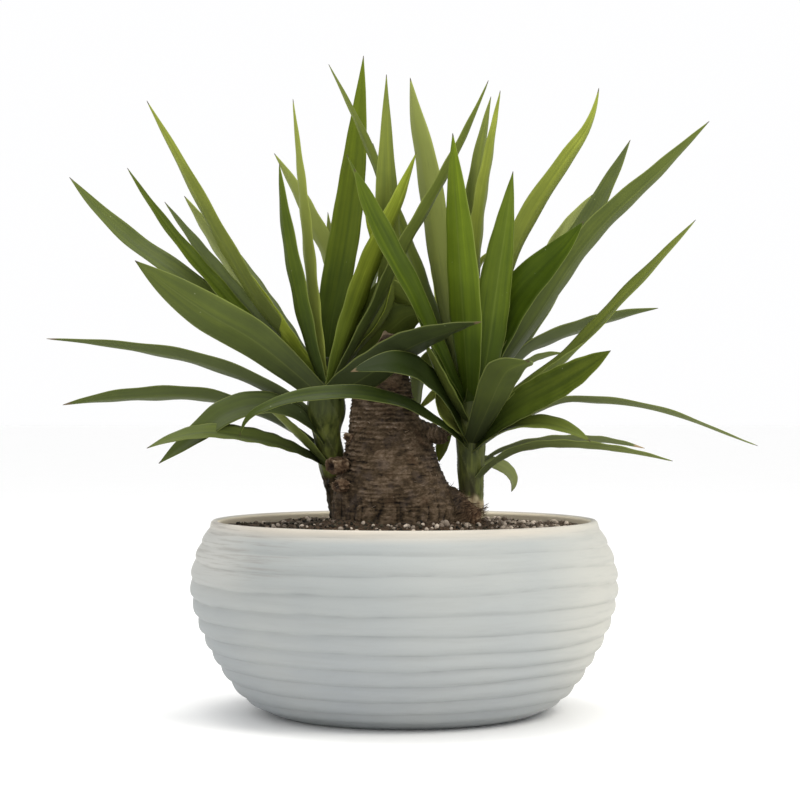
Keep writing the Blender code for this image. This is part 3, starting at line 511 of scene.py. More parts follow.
def half_widths(t, width, peak, fullness):
    """Half the width along a blade: a neck that swells to the peak as sin^1.5, then a taper of
    1 - u^fullness, u running from 0 at the peak to 1 at the tip."""
    neck = 0.5 + 0.5 * np.sin(math.pi / 2 * np.clip(t / peak, 0, 1)) ** 1.5
    taper = 1 - np.clip((t - peak) / (1 - peak), 0, 1) ** fullness
    return np.maximum(width / 2 * np.where(t < peak, neck, taper), TIP / 2)

print("line helpers ready")

# %% [markdown]
# Across a blade the channel is deepest at the middle and its two halves are nearly flat, like
# an opened book. The midrib is a little thicker than the margins. The margins also ripple by
# less than a millimetre, which breaks up the long highlights as on the living leaf.

# %% Blades
CHANNEL = 0.13                # depth of the channel over the width
FOLD = 1.25                   # 1 would be a sharp fold, 2 a round gutter
EDGE, RIB = 0.0006, 0.0017    # thickness at the margins and at the midrib
RIPPLE, RIPPLE_FROM = 0.0007, 0.25      # ripple of the margins, less on blades shorter than this
STEPS, ACROSS = 46, 10        # quads along and across a blade
MM = 1000                     # the rows' lengths are divided by this

def blade(number, width, shows, peak, green, pale, line, dry=0.01, twist=0, fullness=2.2):
    """A blade as rings. Over s from -1 to 1 across: middle + s half side - channel (1 - |s|^FOLD),
    and half the thickness above and below it. The margins ripple as s^2 sin(31 t + 2.2 s), and the
    leaf's number shifts that wave. Also where on the leaf each point is, and its tint."""
    points = np.array([seen_at(*p) for p in np.reshape(line, (-1, 3)) / MM])
    t, s = np.linspace(0, 1, STEPS + 1), np.linspace(-1, 1, ACROSS + 1)
    middle, _, side, upper = blade_frames(points, t, roll_for(points, shows, peak, twist), twist)
    half = half_widths(t, width / MM, peak, fullness)[:, None]
    wave = np.sin(t[:, None] * (31 + number % 5 * 6) + 2.2 * s + number) * s**2
    ripple = RIPPLE * min(1.0, np.linalg.norm(points[-1] - points[0]) / RIPPLE_FROM)
    rise = ripple * wave * (half / half.max()) - 2 * CHANNEL * half * (1 - abs(s) ** FOLD)
    thick = np.minimum(EDGE + (RIB - EDGE) * (1 - s**2), half * 1.2) / 2
    bed = middle[:, None] + (half * s)[..., None] * side[:, None]
    over = bed + (rise + thick)[..., None] * upper[:, None]
    under = bed + (rise - thick)[..., None] * upper[:, None]
    rings = np.concatenate([over, under[:, ::-1]], axis=1)
    spot = xyz(np.concatenate([s, s[::-1]]), t[:, None], np.repeat([1.0, 0.0], len(s)))
    return rings, spot, np.broadcast_to((green, pale, dry), rings.shape)

print("rings of a blade:", blade(0, *LEAVES_LEFT[0])[0].shape)

# %% [markdown]
# A leaf's green is not one colour. The margins carry a thin pale line, parallel veins run from
# root to tip, the underside is duller and greyer, and the tip dries to straw. Painted shade
# darkens the channel and the root, deep in the crown, and a painted glow lightens the thin tip,
# where light shines through. All of that is tied to the leaf, so the finish reads where on the
# leaf a point is: across from -1 to 1, along from 0 to 1, and upper or lower side.

# %% Leaf finish
LEAF_GREENS = [(0.0, (0.012, 0.021, 0.002)), (0.35, (0.046, 0.066, 0.004)), (0.70, (0.112, 0.142, 0.009)),
               (0.87, (0.175, 0.208, 0.014)), (1.0, (0.300, 0.345, 0.034))]
# A painted glow of light through vivid leaves, then a grey that is partly the underside's own colour and
# partly a painted sheen on pale leaves.
PAINTED_GLOW, DULL_AND_SHEEN = (0.84, 1.06, 0.30), (0.180, 0.202, 0.098)
MARGIN, SPECK = (0.30, 0.34, 0.09), (0.42, 0.45, 0.27)
TIP_BURNT, TIP_BROWN, TIP_STRAW = (0.050, 0.036, 0.016), (0.20, 0.105, 0.040), (0.52, 0.43, 0.26)

def leaf_finish():
    """Green by the leaf's own tint, with veins, midrib, margins, dry tips and pale specks."""
    place, sockets, material = finish_material("leaf", specular=0.11)
    spot, tint, own = stored(place, "spot"), stored(place, "tint"), stored(place, "own")
    across, along, face = spot.part("X"), spot.part("Y"), spot.part("Z")
    green, pale, dry = tint.part("X"), tint.part("Y"), tint.part("Z")
    chance = own.part("X") * 40.0
    lane = place.node("CombineXYZ", {0: across * 4.5, 1: along * 2.2, 2: chance})
    vein_lane = place.node("CombineXYZ", {0: across * 30.0, 1: along * 1.5, 2: chance})
    streaks, veins = noise(lane, 1.0, 3.0), noise(vein_lane, 1.0, 2.0)
    patches = noise(place, 26.0, 3.0)
    level = green + (streaks - 0.5) * 0.46 + (patches - 0.5) * 0.26 + (veins - 0.5) * 0.08
    # Painted shade darkens the root, deep in the crown, and a painted glow lightens the thin tip, where
    # light shines through.
    level = level - (1 - along.ramp(0.03, 0.55)) * 0.36 + along.ramp(0.50, 1.0) * 0.10
    # Painted shade in the channel's crease, on the upper side only.
    level = level - (1 - abs(across).ramp(0.0, 0.22)) * face * 0.07
    # Painted glow: leaves with paleness below 0 are tinted vivid yellow-green, for light shining through
    # them.
    colour = blend(pale.ramp(0.0, -0.2) * 0.9, level.stepped(*LEAF_GREENS), PAINTED_GLOW, "MULTIPLY")
    rib = (1 - abs(across).ramp(0.015, 0.055)) * (1 - face) * 0.08
    brown = (along + (streaks - 0.5) * 0.05).ramp(1.0 - dry * 1.15 - 0.002, 1.0 - dry * 0.85 + 0.002)
    tip = blend(dry.ramp(0.02, 0.05), TIP_BURNT, blend(veins, TIP_BROWN, TIP_STRAW))
    dots = place.node("TexVoronoi", {"Vector": place, "Scale": 95.0}, "Distance")
    specks = (1 - dots.ramp(0.03, 0.10)) * noise(place, 60.0, 1.0).ramp(0.60, 0.66)
    # The dull coat is partly the underside's own grey and, on pale leaves, a painted grey sheen.
    margin, dull_and_sheen = abs(across).ramp(0.93, 0.985) * 0.32, pale * 0.60 + (1 - face) * 0.08 + patches * 0.05
    colour = coats(colour, (dull_and_sheen, DULL_AND_SHEEN), (rib + margin, MARGIN), (brown, tip), (specks * 0.35, SPECK))
    gloss = 0.34 + streaks * 0.16 + (1 - face) * 0.12 + patches * 0.08
    feed(sockets, Base_Color=colour, Roughness=gloss, Normal=bump(veins, 0.00014, 0.6))
    return material


leaf_material = leaf_finish()
print("leaf finish:", len(leaf_material.node_tree.nodes), "nodes")

# %% Leaves in place
def leaves(name, rows, node, seed):
    """All blades of a shoot in one mesh, each with its own chance number."""
    rng = np.random.default_rng(seed)
    rings, spots, tints = zip(*[blade(number, *row) for number, row in enumerate(rows)])
    own = [np.broadcast_to(rng.random(3), ring.shape) for ring in rings]
    dress(name, joined(rings), leaf_material, "green_leaf", node, spot=spots, tint=tints, own=own)


leaves("left_leaves", LEAVES_LEFT, "shoot_left", 11)
leaves("right_leaves", LEAVES_RIGHT, "shoot_right", 12)

# %% [markdown]
# Below the crown a yucca stem is wrapped in the bases of its leaves. Each leaf base that fell
# off leaves a low ridge with a pale edge. Five ridges climb the stem side by side, like the
# threads of a steep screw. Low down the bases are dead: straw on the right, dark husk on the left.

# %% Stems
STEM_ROWS, STEM_ROUND = 130, 72
SHEATHS, SHEATH_PITCH, SHEATH_RISE = 5, 0.052, 0.0010
GRAIN_RISE, TORN_RISE = 0.0005, 0.0014       # relief all over, and under the band
STEM_GREENS, SHEATH_EDGE = ((0.026, 0.034, 0.007), (0.128, 0.148, 0.032)), (0.160, 0.172, 0.062)
# A real stain colour, then a dark green that is painted shade on the stem's top inside the crown.
STEM_STAIN, STEM_PAINTED_SHADE = (0.040, 0.030, 0.015), (0.022, 0.032, 0.006)
BROWN_HUSK = [(0.007, 0.006, 0.003), (0.085, 0.060, 0.032)]
STRAW = [(0.24, 0.17, 0.085), (0.56, 0.47, 0.30)]
STEMS = [("left", LEFT_STEM, 0.278, BROWN_HUSK), ("right", RIGHT_STEM, 0.251, STRAW)]

def stem(stations, band):
    """Rings of radius r(z) + rise u^4 about a curved middle. u is the place in a sheath: in one turn
    it runs through all of them, and in one pitch of height through one. Under the band it is rough."""
    held = np.array([[*seen_at(x, z, depth), radius] for x, z, depth, radius in stations])
    path, turn = curve_points(held, np.linspace(0, 1, STEM_ROWS)), round_turn(STEM_ROUND)
    ridge = (path[:, 2:3] / SHEATH_PITCH + SHEATHS * turn / (2 * math.pi)) % 1.0
    round_way = turned(1.0, 0.0, turn)
    rings = path[:, None, :3] + path[:, 3, None, None] * round_way
    grain = lumps(rings * (1, 1, 0.35), 0.006)
    rough = np.clip((band + 0.012 - rings[..., 2]) / 0.02, 0, 1)
    torn = GRAIN_RISE * grain + TORN_RISE * rough * lumps(rings * (1, 1, 0.8), 0.0035, 4)
    rings = rings + (SHEATH_RISE * ridge**4 + torn)[..., None] * round_way
    return rings, xyz(ridge)


def stem_finish(name, band, dead):
    """Green with upright streaks and ridges, stained towards the band, and dead below it."""
    place, sockets, material = finish_material(name, specular=0.20)
    height = place.part("Z")
    streaks = noise(place, 160.0, 4.0, stretch=(1, 1, 0.10))
    patches = noise(place, 30.0, 3.0)
    stain = (patches + streaks * 0.5).ramp(0.86, 0.70) * height.ramp(band + 0.055, band)
    below = (height + (patches - 0.5) * 0.030).ramp(band + 0.004, band - 0.004)
    colour = coats(blend((streaks * 0.6 + patches * 0.4).ramp(0.36, 0.66), *STEM_GREENS),
                   (stored(place, "ridge").part("X").ramp(0.80, 1.0) * 0.45, SHEATH_EDGE),
                   # Painted shade: darker towards the top, under the crown's leaves.
                   (stain * 0.55, STEM_STAIN), (height.ramp(0.325, 0.370) * 0.75, STEM_PAINTED_SHADE),
                   (below, blend(streaks.ramp(0.30, 0.72), *dead)))
    feed(sockets, Base_Color=colour, Roughness=0.42 + streaks * 0.2, Normal=bump(streaks, 0.0006, 0.7))
    return material


for side, stations, band, dead in STEMS:
    rings, ridges = stem(stations, band)
    finish = stem_finish(side + "_stem", band, dead)
    dress(side + "_stem", joined([rings]), finish, "green_leaf", "shoot_" + side, ridge=[ridges])

# %% [markdown]
# The planter is turned: one profile carried round the axis. Its outside is a stack of hand-rolled
# bands, each swelling past the groove under it. Hand work is never even, so the bands' heights and
# swells drift a little round the bowl, by slow noise on the point's position.

# %% Planter
POT_HEIGHT, BASE_RADIUS, LIP_RADIUS, WALL = 0.2245, 0.152, 0.2275, 0.010
BAND_COUNT, BAND_SWELL, BAND_INSET = 12, 0.0040, 0.32
POT_BODY = [(0.152, 0.0), (0.187, 0.0205), (0.2185, 0.062), (0.239, 0.104),
            (0.2485, 0.150), (0.2465, 0.172), (0.2385, 0.196), (0.2275, 0.217)]
LIP_CURVE = [(0.0003, 0.0042), (0.0012, 0.0018), (0.0030, 0.0003), (0.0050, 0.0), (0.0075, 0.0006),
             (0.0095, 0.0022), (0.0105, 0.0045)]      # inset and drop from the outside in
POT_ROUND, BAND_STEPS = 240, 13

def band_profile(t):
    """Swell past the body line at t bands up: sin(pi u^0.7)^0.75, a round arc that is fullest low."""
    return np.sin(math.pi * (t % 1.0) ** 0.7) ** 0.75


def planter_rings():
    """Outer wall with bands, rolled lip, inner wall and floor, as rings round the axis. The wall
    lies at body + swell (profile - inset) outwards, and the swell fades at the foot and lip."""
    t, turn = np.linspace(0, BAND_COUNT, BAND_COUNT * BAND_STEPS + 1), round_turn(POT_ROUND)
    body = curve_points(POT_BODY, t / BAND_COUNT)
    slope = unit(np.gradient(body, axis=0))
    out = np.stack([slope[:, 1], -slope[:, 0]], axis=-1)
    at = turned(body[:, :1], body[:, 1:], turn)
    drift = lumps(at * (1, 1, 3), 0.16) * 0.16 + lumps(at * (1, 1, 5), 0.06, 3) * 0.07
    fade = np.clip(t / 1.5, 0, 1) * (1 - 0.65 * np.clip((t - 8.5) / 3.5, 0, 1))
    arc = band_profile(t[:, None] + drift)
    swell = BAND_SWELL * (arc - BAND_INSET) * fade[:, None]
    height = np.maximum(body[:, 1:] + swell * out[:, 1:], 0.0)
    height[0] = 0.0
    inner = [(r - WALL, z) for r, z in POT_BODY if z > WALL][::-1][1:]
    lip = [(LIP_RADIUS - inset, POT_HEIGHT - drop) for inset, drop in LIP_CURVE]
    rest = np.array(lip + inner + [(BASE_RADIUS, WALL), (0.004, WALL)])
    outer = turned(body[:, :1] + swell * out[:, :1], height, turn)
    rings = np.concatenate([outer, turned(rest[:, :1], rest[:, 1:], turn)])
    groove = np.concatenate([1 - arc, np.zeros((len(rest), POT_ROUND))])
    outside = np.arange(len(groove))[:, None] < len(t) + len(lip) - 2
    return rings, xyz(groove, outside)


CLAY_LOW, CLAY_HIGH, LIP_CREAM = (0.308, 0.328, 0.340), (0.322, 0.343, 0.341), (0.56, 0.50, 0.415)
# The first colour here is the pot's own warm patches and also painted warm light on its right side.
WARM_PATCH_AND_LIGHT, BRUSHED, LEFT_CREAM = (0.455, 0.450, 0.405), (0.28, 0.29, 0.28), (0.54, 0.53, 0.49)
# A real stain, and a grey painted as shade in the grooves.
POT_STAIN, GROOVE_PAINTED_SHADE = (0.200, 0.175, 0.150), (0.19, 0.20, 0.20)
# The inside's beige, made lighter than its own as painted light on the shaded inner wall.
INSIDE_LOW, INSIDE_HIGH = (0.78, 0.69, 0.52), (0.93, 0.84, 0.66)

def planter_finish():
    """Chalky pale grey: warm at the lip, cool and darker below, brushed streaks and stains, warm patches
    with painted warm light on the right, painted shade in the grooves, and an inside lifted by painted
    light.
    """
    place, sockets, material = finish_material("pale_clay", specular=0.30)
    band, right, height = stored(place, "band"), place.part("X"), place.part("Z")
    broad, grain = noise(place, 5.0, 3.0), noise(place, 420.0, 3.0)
    brushed = noise(place, 14.0, 5.0, 0.6, (1, 1, 14))
    streak = noise(place, 9.0, 6.0, 0.7, (1, 1, 30)).ramp(0.48, 0.62)
    left = right.ramp(-0.04, -0.17) * height.ramp(0.150, 0.185) * (1 - place.part("Y").ramp(-0.05, 0.05))
    colour = coats(blend(height.ramp(0.0, 0.215), CLAY_LOW, CLAY_HIGH),
                   (height.ramp(0.208, 0.223) * 0.8, LIP_CREAM),
                   # Warm patches of the pot's own, and painted warm light on the right side.
                   ((broad - 0.35) * 0.7 + right.ramp(0.13, 0.24) * 0.8, WARM_PATCH_AND_LIGHT),
                   ((brushed - 0.45).ramp(0.0, 0.25) * 0.22, BRUSHED),
                   (right.ramp(-0.15, -0.22) * height.ramp(0.125, 0.190) * 0.6, LEFT_CREAM),
                   (left * streak * 0.35, POT_STAIN),
                   # Painted shade in the grooves between the bands.
                   (band.part("X").ramp(0.62, 1.0) * 0.13, GROOVE_PAINTED_SHADE),
                   # The inside: its own beige, lightened as painted light.
                   (1 - band.part("Y"), blend(brushed, INSIDE_LOW, INSIDE_HIGH)))
    rough = 0.50 + grain * 0.12 + brushed * 0.12
    feed(sockets, Base_Color=colour, Roughness=rough, Normal=bump(grain * 0.5 + brushed, 0.0006, 0.45))
    return material


rings, bands = planter_rings()
planter = dress("planter", joined([rings]), planter_finish(), "pale_clay", "pot", band=[bands])

# %% [markdown]
# Water has to get out, so the floor has four holes. A turned profile can't hold them. They are
# drilled with a Boolean, which is applied, so that the piece is one plain mesh again.

# %% Drainage holes
DRAIN_RADIUS, DRAIN_ROUND = 0.006, 32
DRAIN_CIRCLE, DRAIN_TURNS = 0.070, np.radians([45, 135, 225, 315])

def drill(piece):
    """Cut the drainage holes and keep the result as the piece's own mesh."""
    rod = turned(DRAIN_RADIUS, np.array([[-WALL], [2 * WALL]]), round_turn(DRAIN_ROUND))
    rods = [rod + middle for middle in turned(DRAIN_CIRCLE, 0.0, DRAIN_TURNS)]
    drills = placed("drills", new_mesh("drills", *joined(rods)))
    cut = piece.modifiers.new("holes", "BOOLEAN")
    cut.operation, cut.solver, cut.object = "DIFFERENCE", "MANIFOLD", drills
    graph = bpy.context.evaluated_depsgraph_get()
    drilled = bpy.data.meshes.new_from_object(piece.evaluated_get(graph))
    piece.modifiers.clear()
    piece.data = drilled
    bpy.data.objects.remove(drills)


drill(planter)
print("planter faces:", len(planter.data.polygons))

# %% [markdown]
# The cane is bark all over: rings of torn leaf scars that run round it, upright cracks near the
# foot, and lumps. The same relief number pushes the surface in and out and sets the finish's
# tone, with painted shade in the deep cracks and a painted highlight on the raised flakes. A flare
# on the lower right carries the right shoot, with layers of fibre that sweep down and outwards.

# %% Trunk shape
TRUNK_SHAPE = [(0.150, -0.011, 0.070), (0.214, -0.011, 0.072), (0.232, -0.011, 0.0725),
               (0.256, -0.0125, 0.069), (0.282, -0.0165, 0.0610), (0.300, -0.0165, 0.0545),
               (0.318, -0.018, 0.050), (0.336, -0.021, 0.044), (0.353, -0.026, 0.038),
               (0.371, -0.027, 0.035), (0.398, -0.026, 0.031), (0.424, -0.026, 0.029)]
FLARE = [(0.150, 0.058, 0.020), (0.214, 0.062, 0.029), (0.235, 0.063, 0.028),
         (0.251, 0.067, 0.0235), (0.262, 0.063, 0.0145)]
TRUNK_FLATTEN, TRUNK_LUMPS, SOIL_TOP = 0.86, 0.035, 0.2145
CANE_GRID, FLARE_GRID = (190, 230), (90, 120)     # rings, and points in each
CANE_X, FLARE_X, HUSK_X = -0.018, 0.064, 0.058    # upright lines that relief and fibres point away from
CRACKS_BELOW, SCAR_PITCH, SCAR_DEPTH, HUSK_PITCH, HUSK_DEPTH = 0.262, 0.0054, 0.0018, 0.0048, 0.0020

def column(shape, rows, columns):
    """Flattened rings through the rows (z, middle, r) of a shape. The radius is r (1 + lumps), and
    the lumps are 0.6 sin(3a + 41z) + 0.4 sin(5a - 63z) above the soil."""
    table, turn = np.array(shape), round_turn(columns)
    height = np.linspace(table[0, 0], table[-1, 0], rows)
    path = curve_points(table, np.interp(height, table[:, 0], chord_shares(table)))
    z, middle, half = path.T[..., None]
    wave = np.sin(3 * turn + 41 * z) * 0.6 + np.sin(5 * turn - 63 * z) * 0.4
    radius = half * (1 + TRUNK_LUMPS * wave * (z > SOIL_TOP))
    return xyz(middle + radius * np.cos(turn), radius * TRUNK_FLATTEN * np.sin(turn), z)


def bent(points, reach, size):
    """Points pushed by noise of this reach, so that noise read there runs in bends, not in cells."""
    return points + reach * np.stack([lumps(points, size, seed) for seed in (11, 12, 13)], axis=-1)


def scars(points, tilt=0.0, pitch=SCAR_PITCH):
    """Leaf scars: a saw of (z + tilt x)/pitch, warped by noise so that scars break and merge."""
    warp = 1.3 * lumps(points * (0.6, 0.6, 1), 0.04, 1) + 0.28 * lumps(points * (1, 1, 2.5), 0.009, 2)
    saw = ((points[..., 2] + tilt * points[..., 0]) / pitch + warp) % 1.0
    return np.where(saw < 0.25, saw / 0.25, 1 - (saw - 0.25) / 0.75) * 2 - 1


def bark_relief(points, tilt=0.0):
    """Relief of about -1 to 1: scars in patches, upright cracks near the foot, torn flakes everywhere."""
    low = np.clip((CRACKS_BELOW - points[..., 2]) / 0.03, 0, 1)
    round_bend = bent(points, 0.006, 0.02)
    cracks = -np.clip(1 - abs(lumps(round_bend * (1, 1, 0.22), 0.0085, 4)) * 5, 0, 1)
    plates = np.tanh(7 * lumps(round_bend * (1, 1, 2.6), 0.011, 5))
    grain = lumps(round_bend * (1, 1, 1.8), 0.003, 6)
    patch = np.clip(0.60 + 1.1 * lumps(points * (1, 1, 1.5), 0.024, 9), 0.25, 1)
    ringed = scars(points, tilt) * patch * (0.62 - 0.35 * low)
    dents = 0.16 * lumps(points, 0.03, 7)
    return ringed + cracks * (0.20 + 0.6 * low) + plates * 0.22 + grain * 0.34 + dents


def outward(points, centre):
    """Unit directions away from an upright line through the centre x."""
    return unit(points * (1, 1, 0) - (centre, 0, 0))


CUT_FROM, CUT_LOW, CUT_HIGH, CUT_SLOPE = 0.353, 0.398, 0.444, 1.45      # the slant of the sawn top
SPLINTER_X, SPLINTER_WIDTH, SPLINTER_RISE = -0.022, 0.0045, 0.0045
SAWN_RINGS = ((0.90, 0.0005), (0.80, 0.006), (0.72, 0.011), (0.40, 0.013), (0.04, 0.012))

def cane():
    """The cane with its relief. Its rings tilt by degrees into the slope of the saw cut, and the
    cut wood goes on inwards as rings (share of the last ring, drop under it), a shallow dish."""
    rings = column(TRUNK_SHAPE, *CANE_GRID)
    share = np.clip((rings[:, :1, 2] - CUT_FROM) / (TRUNK_SHAPE[-1][0] - CUT_FROM), 0, 1) ** 1.2
    cut = np.minimum(CUT_LOW + CUT_SLOPE * (rings[-1, :, 0] - rings[-1, :, 0].min()), CUT_HIGH)
    rings[..., 2] += share * (cut - rings[-1, :, 2])
    relief = bark_relief(rings)
    rings = rings + (relief * SCAR_DEPTH)[..., None] * outward(rings, CANE_X)
    edge = rings[-1]
    splinter = np.exp(-((edge[:, 0] - SPLINTER_X) / SPLINTER_WIDTH) ** 2)
    edge[:, 2] += 0.003 * lumps(edge * (1, 1, 0), 0.003, 8) + SPLINTER_RISE * splinter - 0.003
    middle = edge.mean(axis=0)
    face = np.array([middle + (edge - middle) * reach - (0, 0, drop) for reach, drop in SAWN_RINGS])
    face = face + (0, 0, 0.0016) * lumps(face, 0.003, 9)[..., None]
    sawn = 0.9 * (np.arange(len(rings) + len(face)) >= len(rings) - 2)[:, None]
    return np.concatenate([rings, face]), xyz(np.concatenate([relief, lumps(face, 0.004, 3)]), sawn)


FLARE_SHOULDER, FLARE_MIDDLE = 0.235, 0.060       # z above which the top slopes, and x it slopes from

def flare():
    """The swelling that the right shoot grows from, under layers of fibre that hang outwards."""
    rings = column(FLARE, *FLARE_GRID)
    top = np.clip((rings[..., 2] - FLARE_SHOULDER) / 0.027, 0, 1)
    right, left = np.clip(rings[..., 0] - FLARE_MIDDLE, 0, 1), np.clip(FLARE_MIDDLE - rings[..., 0], 0, 1)
    rings[..., 2] -= top * (0.8 * right - 0.22 * left)
    fibre = bark_relief(rings, -0.55) * 0.75 + 0.34 * scars(bent(rings, 0.005, 0.010), -0.9, HUSK_PITCH)
    rings = rings + (fibre * HUSK_DEPTH)[..., None] * outward(rings, FLARE_X)
    husk = np.clip((rings[..., 0] - FLARE_MIDDLE) / 0.022, 0, 1)
    return rings, xyz(fibre, 0.0, husk)


barked = [cane(), flare()]
print("trunk rings:", [rings.shape for rings, _ in barked])

# %% [markdown]
# Where side shoots broke off, the cane keeps round knobs with a hollow eye, and one short dead
# branch on the right. Each knob is a ball whose polar rings are pushed by the same noise.

# %% Knobs and branch
KNOBS = [(-0.077, -0.026, 0.2885, 0.0130), (-0.073, -0.034, 0.2655, 0.0092),
         (-0.062, -0.014, 0.3210, 0.0075)]
KNOB_WAY = (-0.78, -0.58, -0.10)     # the way a knob's eye looks
KNOB_RELIEF, BRANCH_RELIEF = 0.0021, 0.0020
BRANCH_START, BRANCH_END, BRANCH_RADIUS = (0.006, -0.004, 0.332), (0.052, -0.002, 0.3215), 0.0094
KNOB_GRID, BRANCH_GRID = (34, 64), (40, 40)       # rings, and points in each

def knob(x, y, z, radius):
    """A ball of radius r (1 - 0.7 (1 - polar/0.8)) near the pole that looks along KNOB_WAY, which
    makes a hollow eye with a lip, with strands that run into it and a height squashed to 0.8."""
    rows, columns = KNOB_GRID
    polar, turn = np.linspace(0.06, math.pi - 0.06, rows)[:, None], round_turn(columns)
    hollow, lip = np.clip(1 - polar / 0.8, 0, 1), np.exp(-((polar - 0.95) / 0.25) ** 2)
    axis = unit(np.array(KNOB_WAY))
    side = unit(np.cross(axis, (0, 0, 1)))
    ring = np.cos(turn)[:, None] * side + np.sin(turn)[:, None] * np.cross(side, axis)
    way = np.cos(polar)[..., None] * axis + np.sin(polar)[..., None] * ring
    points = (x, y, z) + (radius * (1 - 0.7 * hollow + 0.12 * lip))[..., None] * way * (1.08, 1.0, 0.80)
    strands = np.sin(11 * turn + 3 * lumps(points, 0.006, 5))
    coarse = lumps(bent(points, 0.004, 0.008), 0.0065, 3)
    fine = lumps(bent(points, 0.002, 0.004), 0.0028, 4)
    relief = 0.16 * strands + (0.6 * coarse + 0.6 * fine)
    points = points + (relief * KNOB_RELIEF)[..., None] * way
    # The tone it carries: painted shade darkens the hollow eye and a painted highlight lightens its lip.
    return points, xyz(relief * 0.9 + 0.28 * lip - 1.4 * hollow, 0.0, 0.75)


def branch():
    """A short stub of radius r (1 + 0.85 (1 - u)^1.5), drawn in over its last quarter, ragged."""
    rows, columns = BRANCH_GRID
    start, end = np.array(BRANCH_START), np.array(BRANCH_END)
    u = np.linspace(0, 1, rows)[:, None]
    drawn = 0.45 * np.clip((u - 0.75) / 0.25, 0, 1) ** 1.6
    radius = BRANCH_RADIUS * (1 + 0.85 * (1 - u) ** 1.5) * (1 - drawn)
    round_way = turned(1.0, 0.0, round_turn(columns))[:, [2, 0, 1]]
    points = (start + (end - start) * u)[:, None] + radius[..., None] * round_way
    relief = lumps(points * (0.6, 1, 1), 0.005, 3) * 0.6 + scars(points[..., [1, 2, 0]]) * 0.4
    points = points + (relief * BRANCH_RELIEF)[..., None] * round_way
    points[..., 0] -= 0.005 * u * (0.3 + lumps(points * (0, 1, 1), 0.004, 6))
    return points, xyz(relief)


tubes, kinds = zip(*barked, *[knob(*row) for row in KNOBS], branch())
print("tubes of the trunk:", len(tubes))

# %% Bark finish
# Tone ramps from painted shade in deep places, through the bark's and fibre's own browns, to a painted
# highlight on raised places.
BARK = [(0.0, (0.008, 0.005, 0.003)), (0.36, (0.068, 0.046, 0.025)), (0.68, (0.160, 0.114, 0.075)),
        (1.0, (0.390, 0.310, 0.235))]
RUSTY = [(0.0, (0.020, 0.010, 0.006)), (0.45, (0.105, 0.055, 0.030)), (1.0, (0.42, 0.31, 0.19))]
GREY_PATCH, RED_PATCH, MOSS = (0.105, 0.080, 0.066), (0.085, 0.045, 0.024), (0.040, 0.050, 0.022)
WOOD_LOW, WOOD_HIGH = (0.16, 0.11, 0.065), (0.50, 0.39, 0.25)

def bark_finish():
    """Grey-brown bark, with painted shade that turns the deep cracks near black and a painted highlight
    on the raised flakes, rusty fibre on husk and knobs, straw where the wood is cut, and a green
    tinge low on the left."""
    place, sockets, material = finish_material("bark", specular=0.18)
    kind = stored(place, "relief")
    relief, cut, husk = kind.part("X"), kind.part("Y"), kind.part("Z")
    fine = noise(place, 330.0, 5.0, 0.65, (1, 1, 1.8))
    broad, hue = noise(place, 34.0, 4.0), noise(place, 55.0, 3.0)
    # Relief sets the tone: painted shade where the bark lies deep and a painted highlight where it stands
    # up, on top of its own mottling.
    lift = relief * 0.50 + 0.40 + (fine - 0.5) * 0.90 + (broad - 0.5) * 0.30
    moss = (0.232 - place.part("Z")).ramp(0.0, 0.018) * broad.ramp(0.45, 0.62)
    moss = moss * place.part("X").ramp(0.0, -0.07)
    colour = coats(lift.stepped(*BARK), (hue.ramp(0.52, 0.68) * 0.35, GREY_PATCH),
                   (hue.ramp(0.46, 0.32) * 0.30, RED_PATCH), (husk * 0.65, lift.stepped(*RUSTY)),
                   (cut * 0.8, blend(fine, WOOD_LOW, WOOD_HIGH)), (moss * 0.6, MOSS))
    feed(sockets, Base_Color=colour, Roughness=0.80 + fine * 0.15, Normal=bump(fine + broad, 0.0012, 0.8))
    return material


bark = bark_finish()
dress("trunk_bark", joined(tubes), bark, "bark", "trunk", relief=kinds)

# %% [markdown]
# Torn fibres stand off the bark, the husk and the knobs, and here and there a flake of bark has
# come loose. Each is a thin bent strip, a closed tube of three sides, that starts under the
# surface and runs along it before its tip lifts. A flake is only a wider and flatter strip.

# %% Fibres
STRIP_RINGS, STRIP_SIDES, STRIP_SUNK = 6, 3, 0.0008
cane_skin, flare_skin, knob_skin = tubes[0][8:182], tubes[1], np.concatenate(tubes[2:5])
STRIPS = [      # skin, centre x, count, husk, ranges of lean, length, lift and half width, flatness, seed
    (cane_skin, CANE_X, 380, 0, (-0.3, 0.5), (3, 11), (0.2, 2), (0.2, 0.5), 0.5, 21),
    (cane_skin, CANE_X, 150, 0, (-0.6, 0.6), (3, 7), (0.4, 2), (1, 2.4), 0.25, 22),
    (flare_skin[10:60], FLARE_X, 150, 0.9, (0.7, 1.4), (8, 20), (1, 4), (0.3, 0.7), 0.6, 23),
    (flare_skin[40:89], HUSK_X, 420, 1, (-0.10, 0.95), (7, 21), (2, 9.5), (0.3, 1), 0.5, 24),
    (knob_skin, -0.05, 130, 0.8, (-0.2, 1.2), (3, 9), (0.5, 3), (0.2, 0.5), 0.6, 25)]

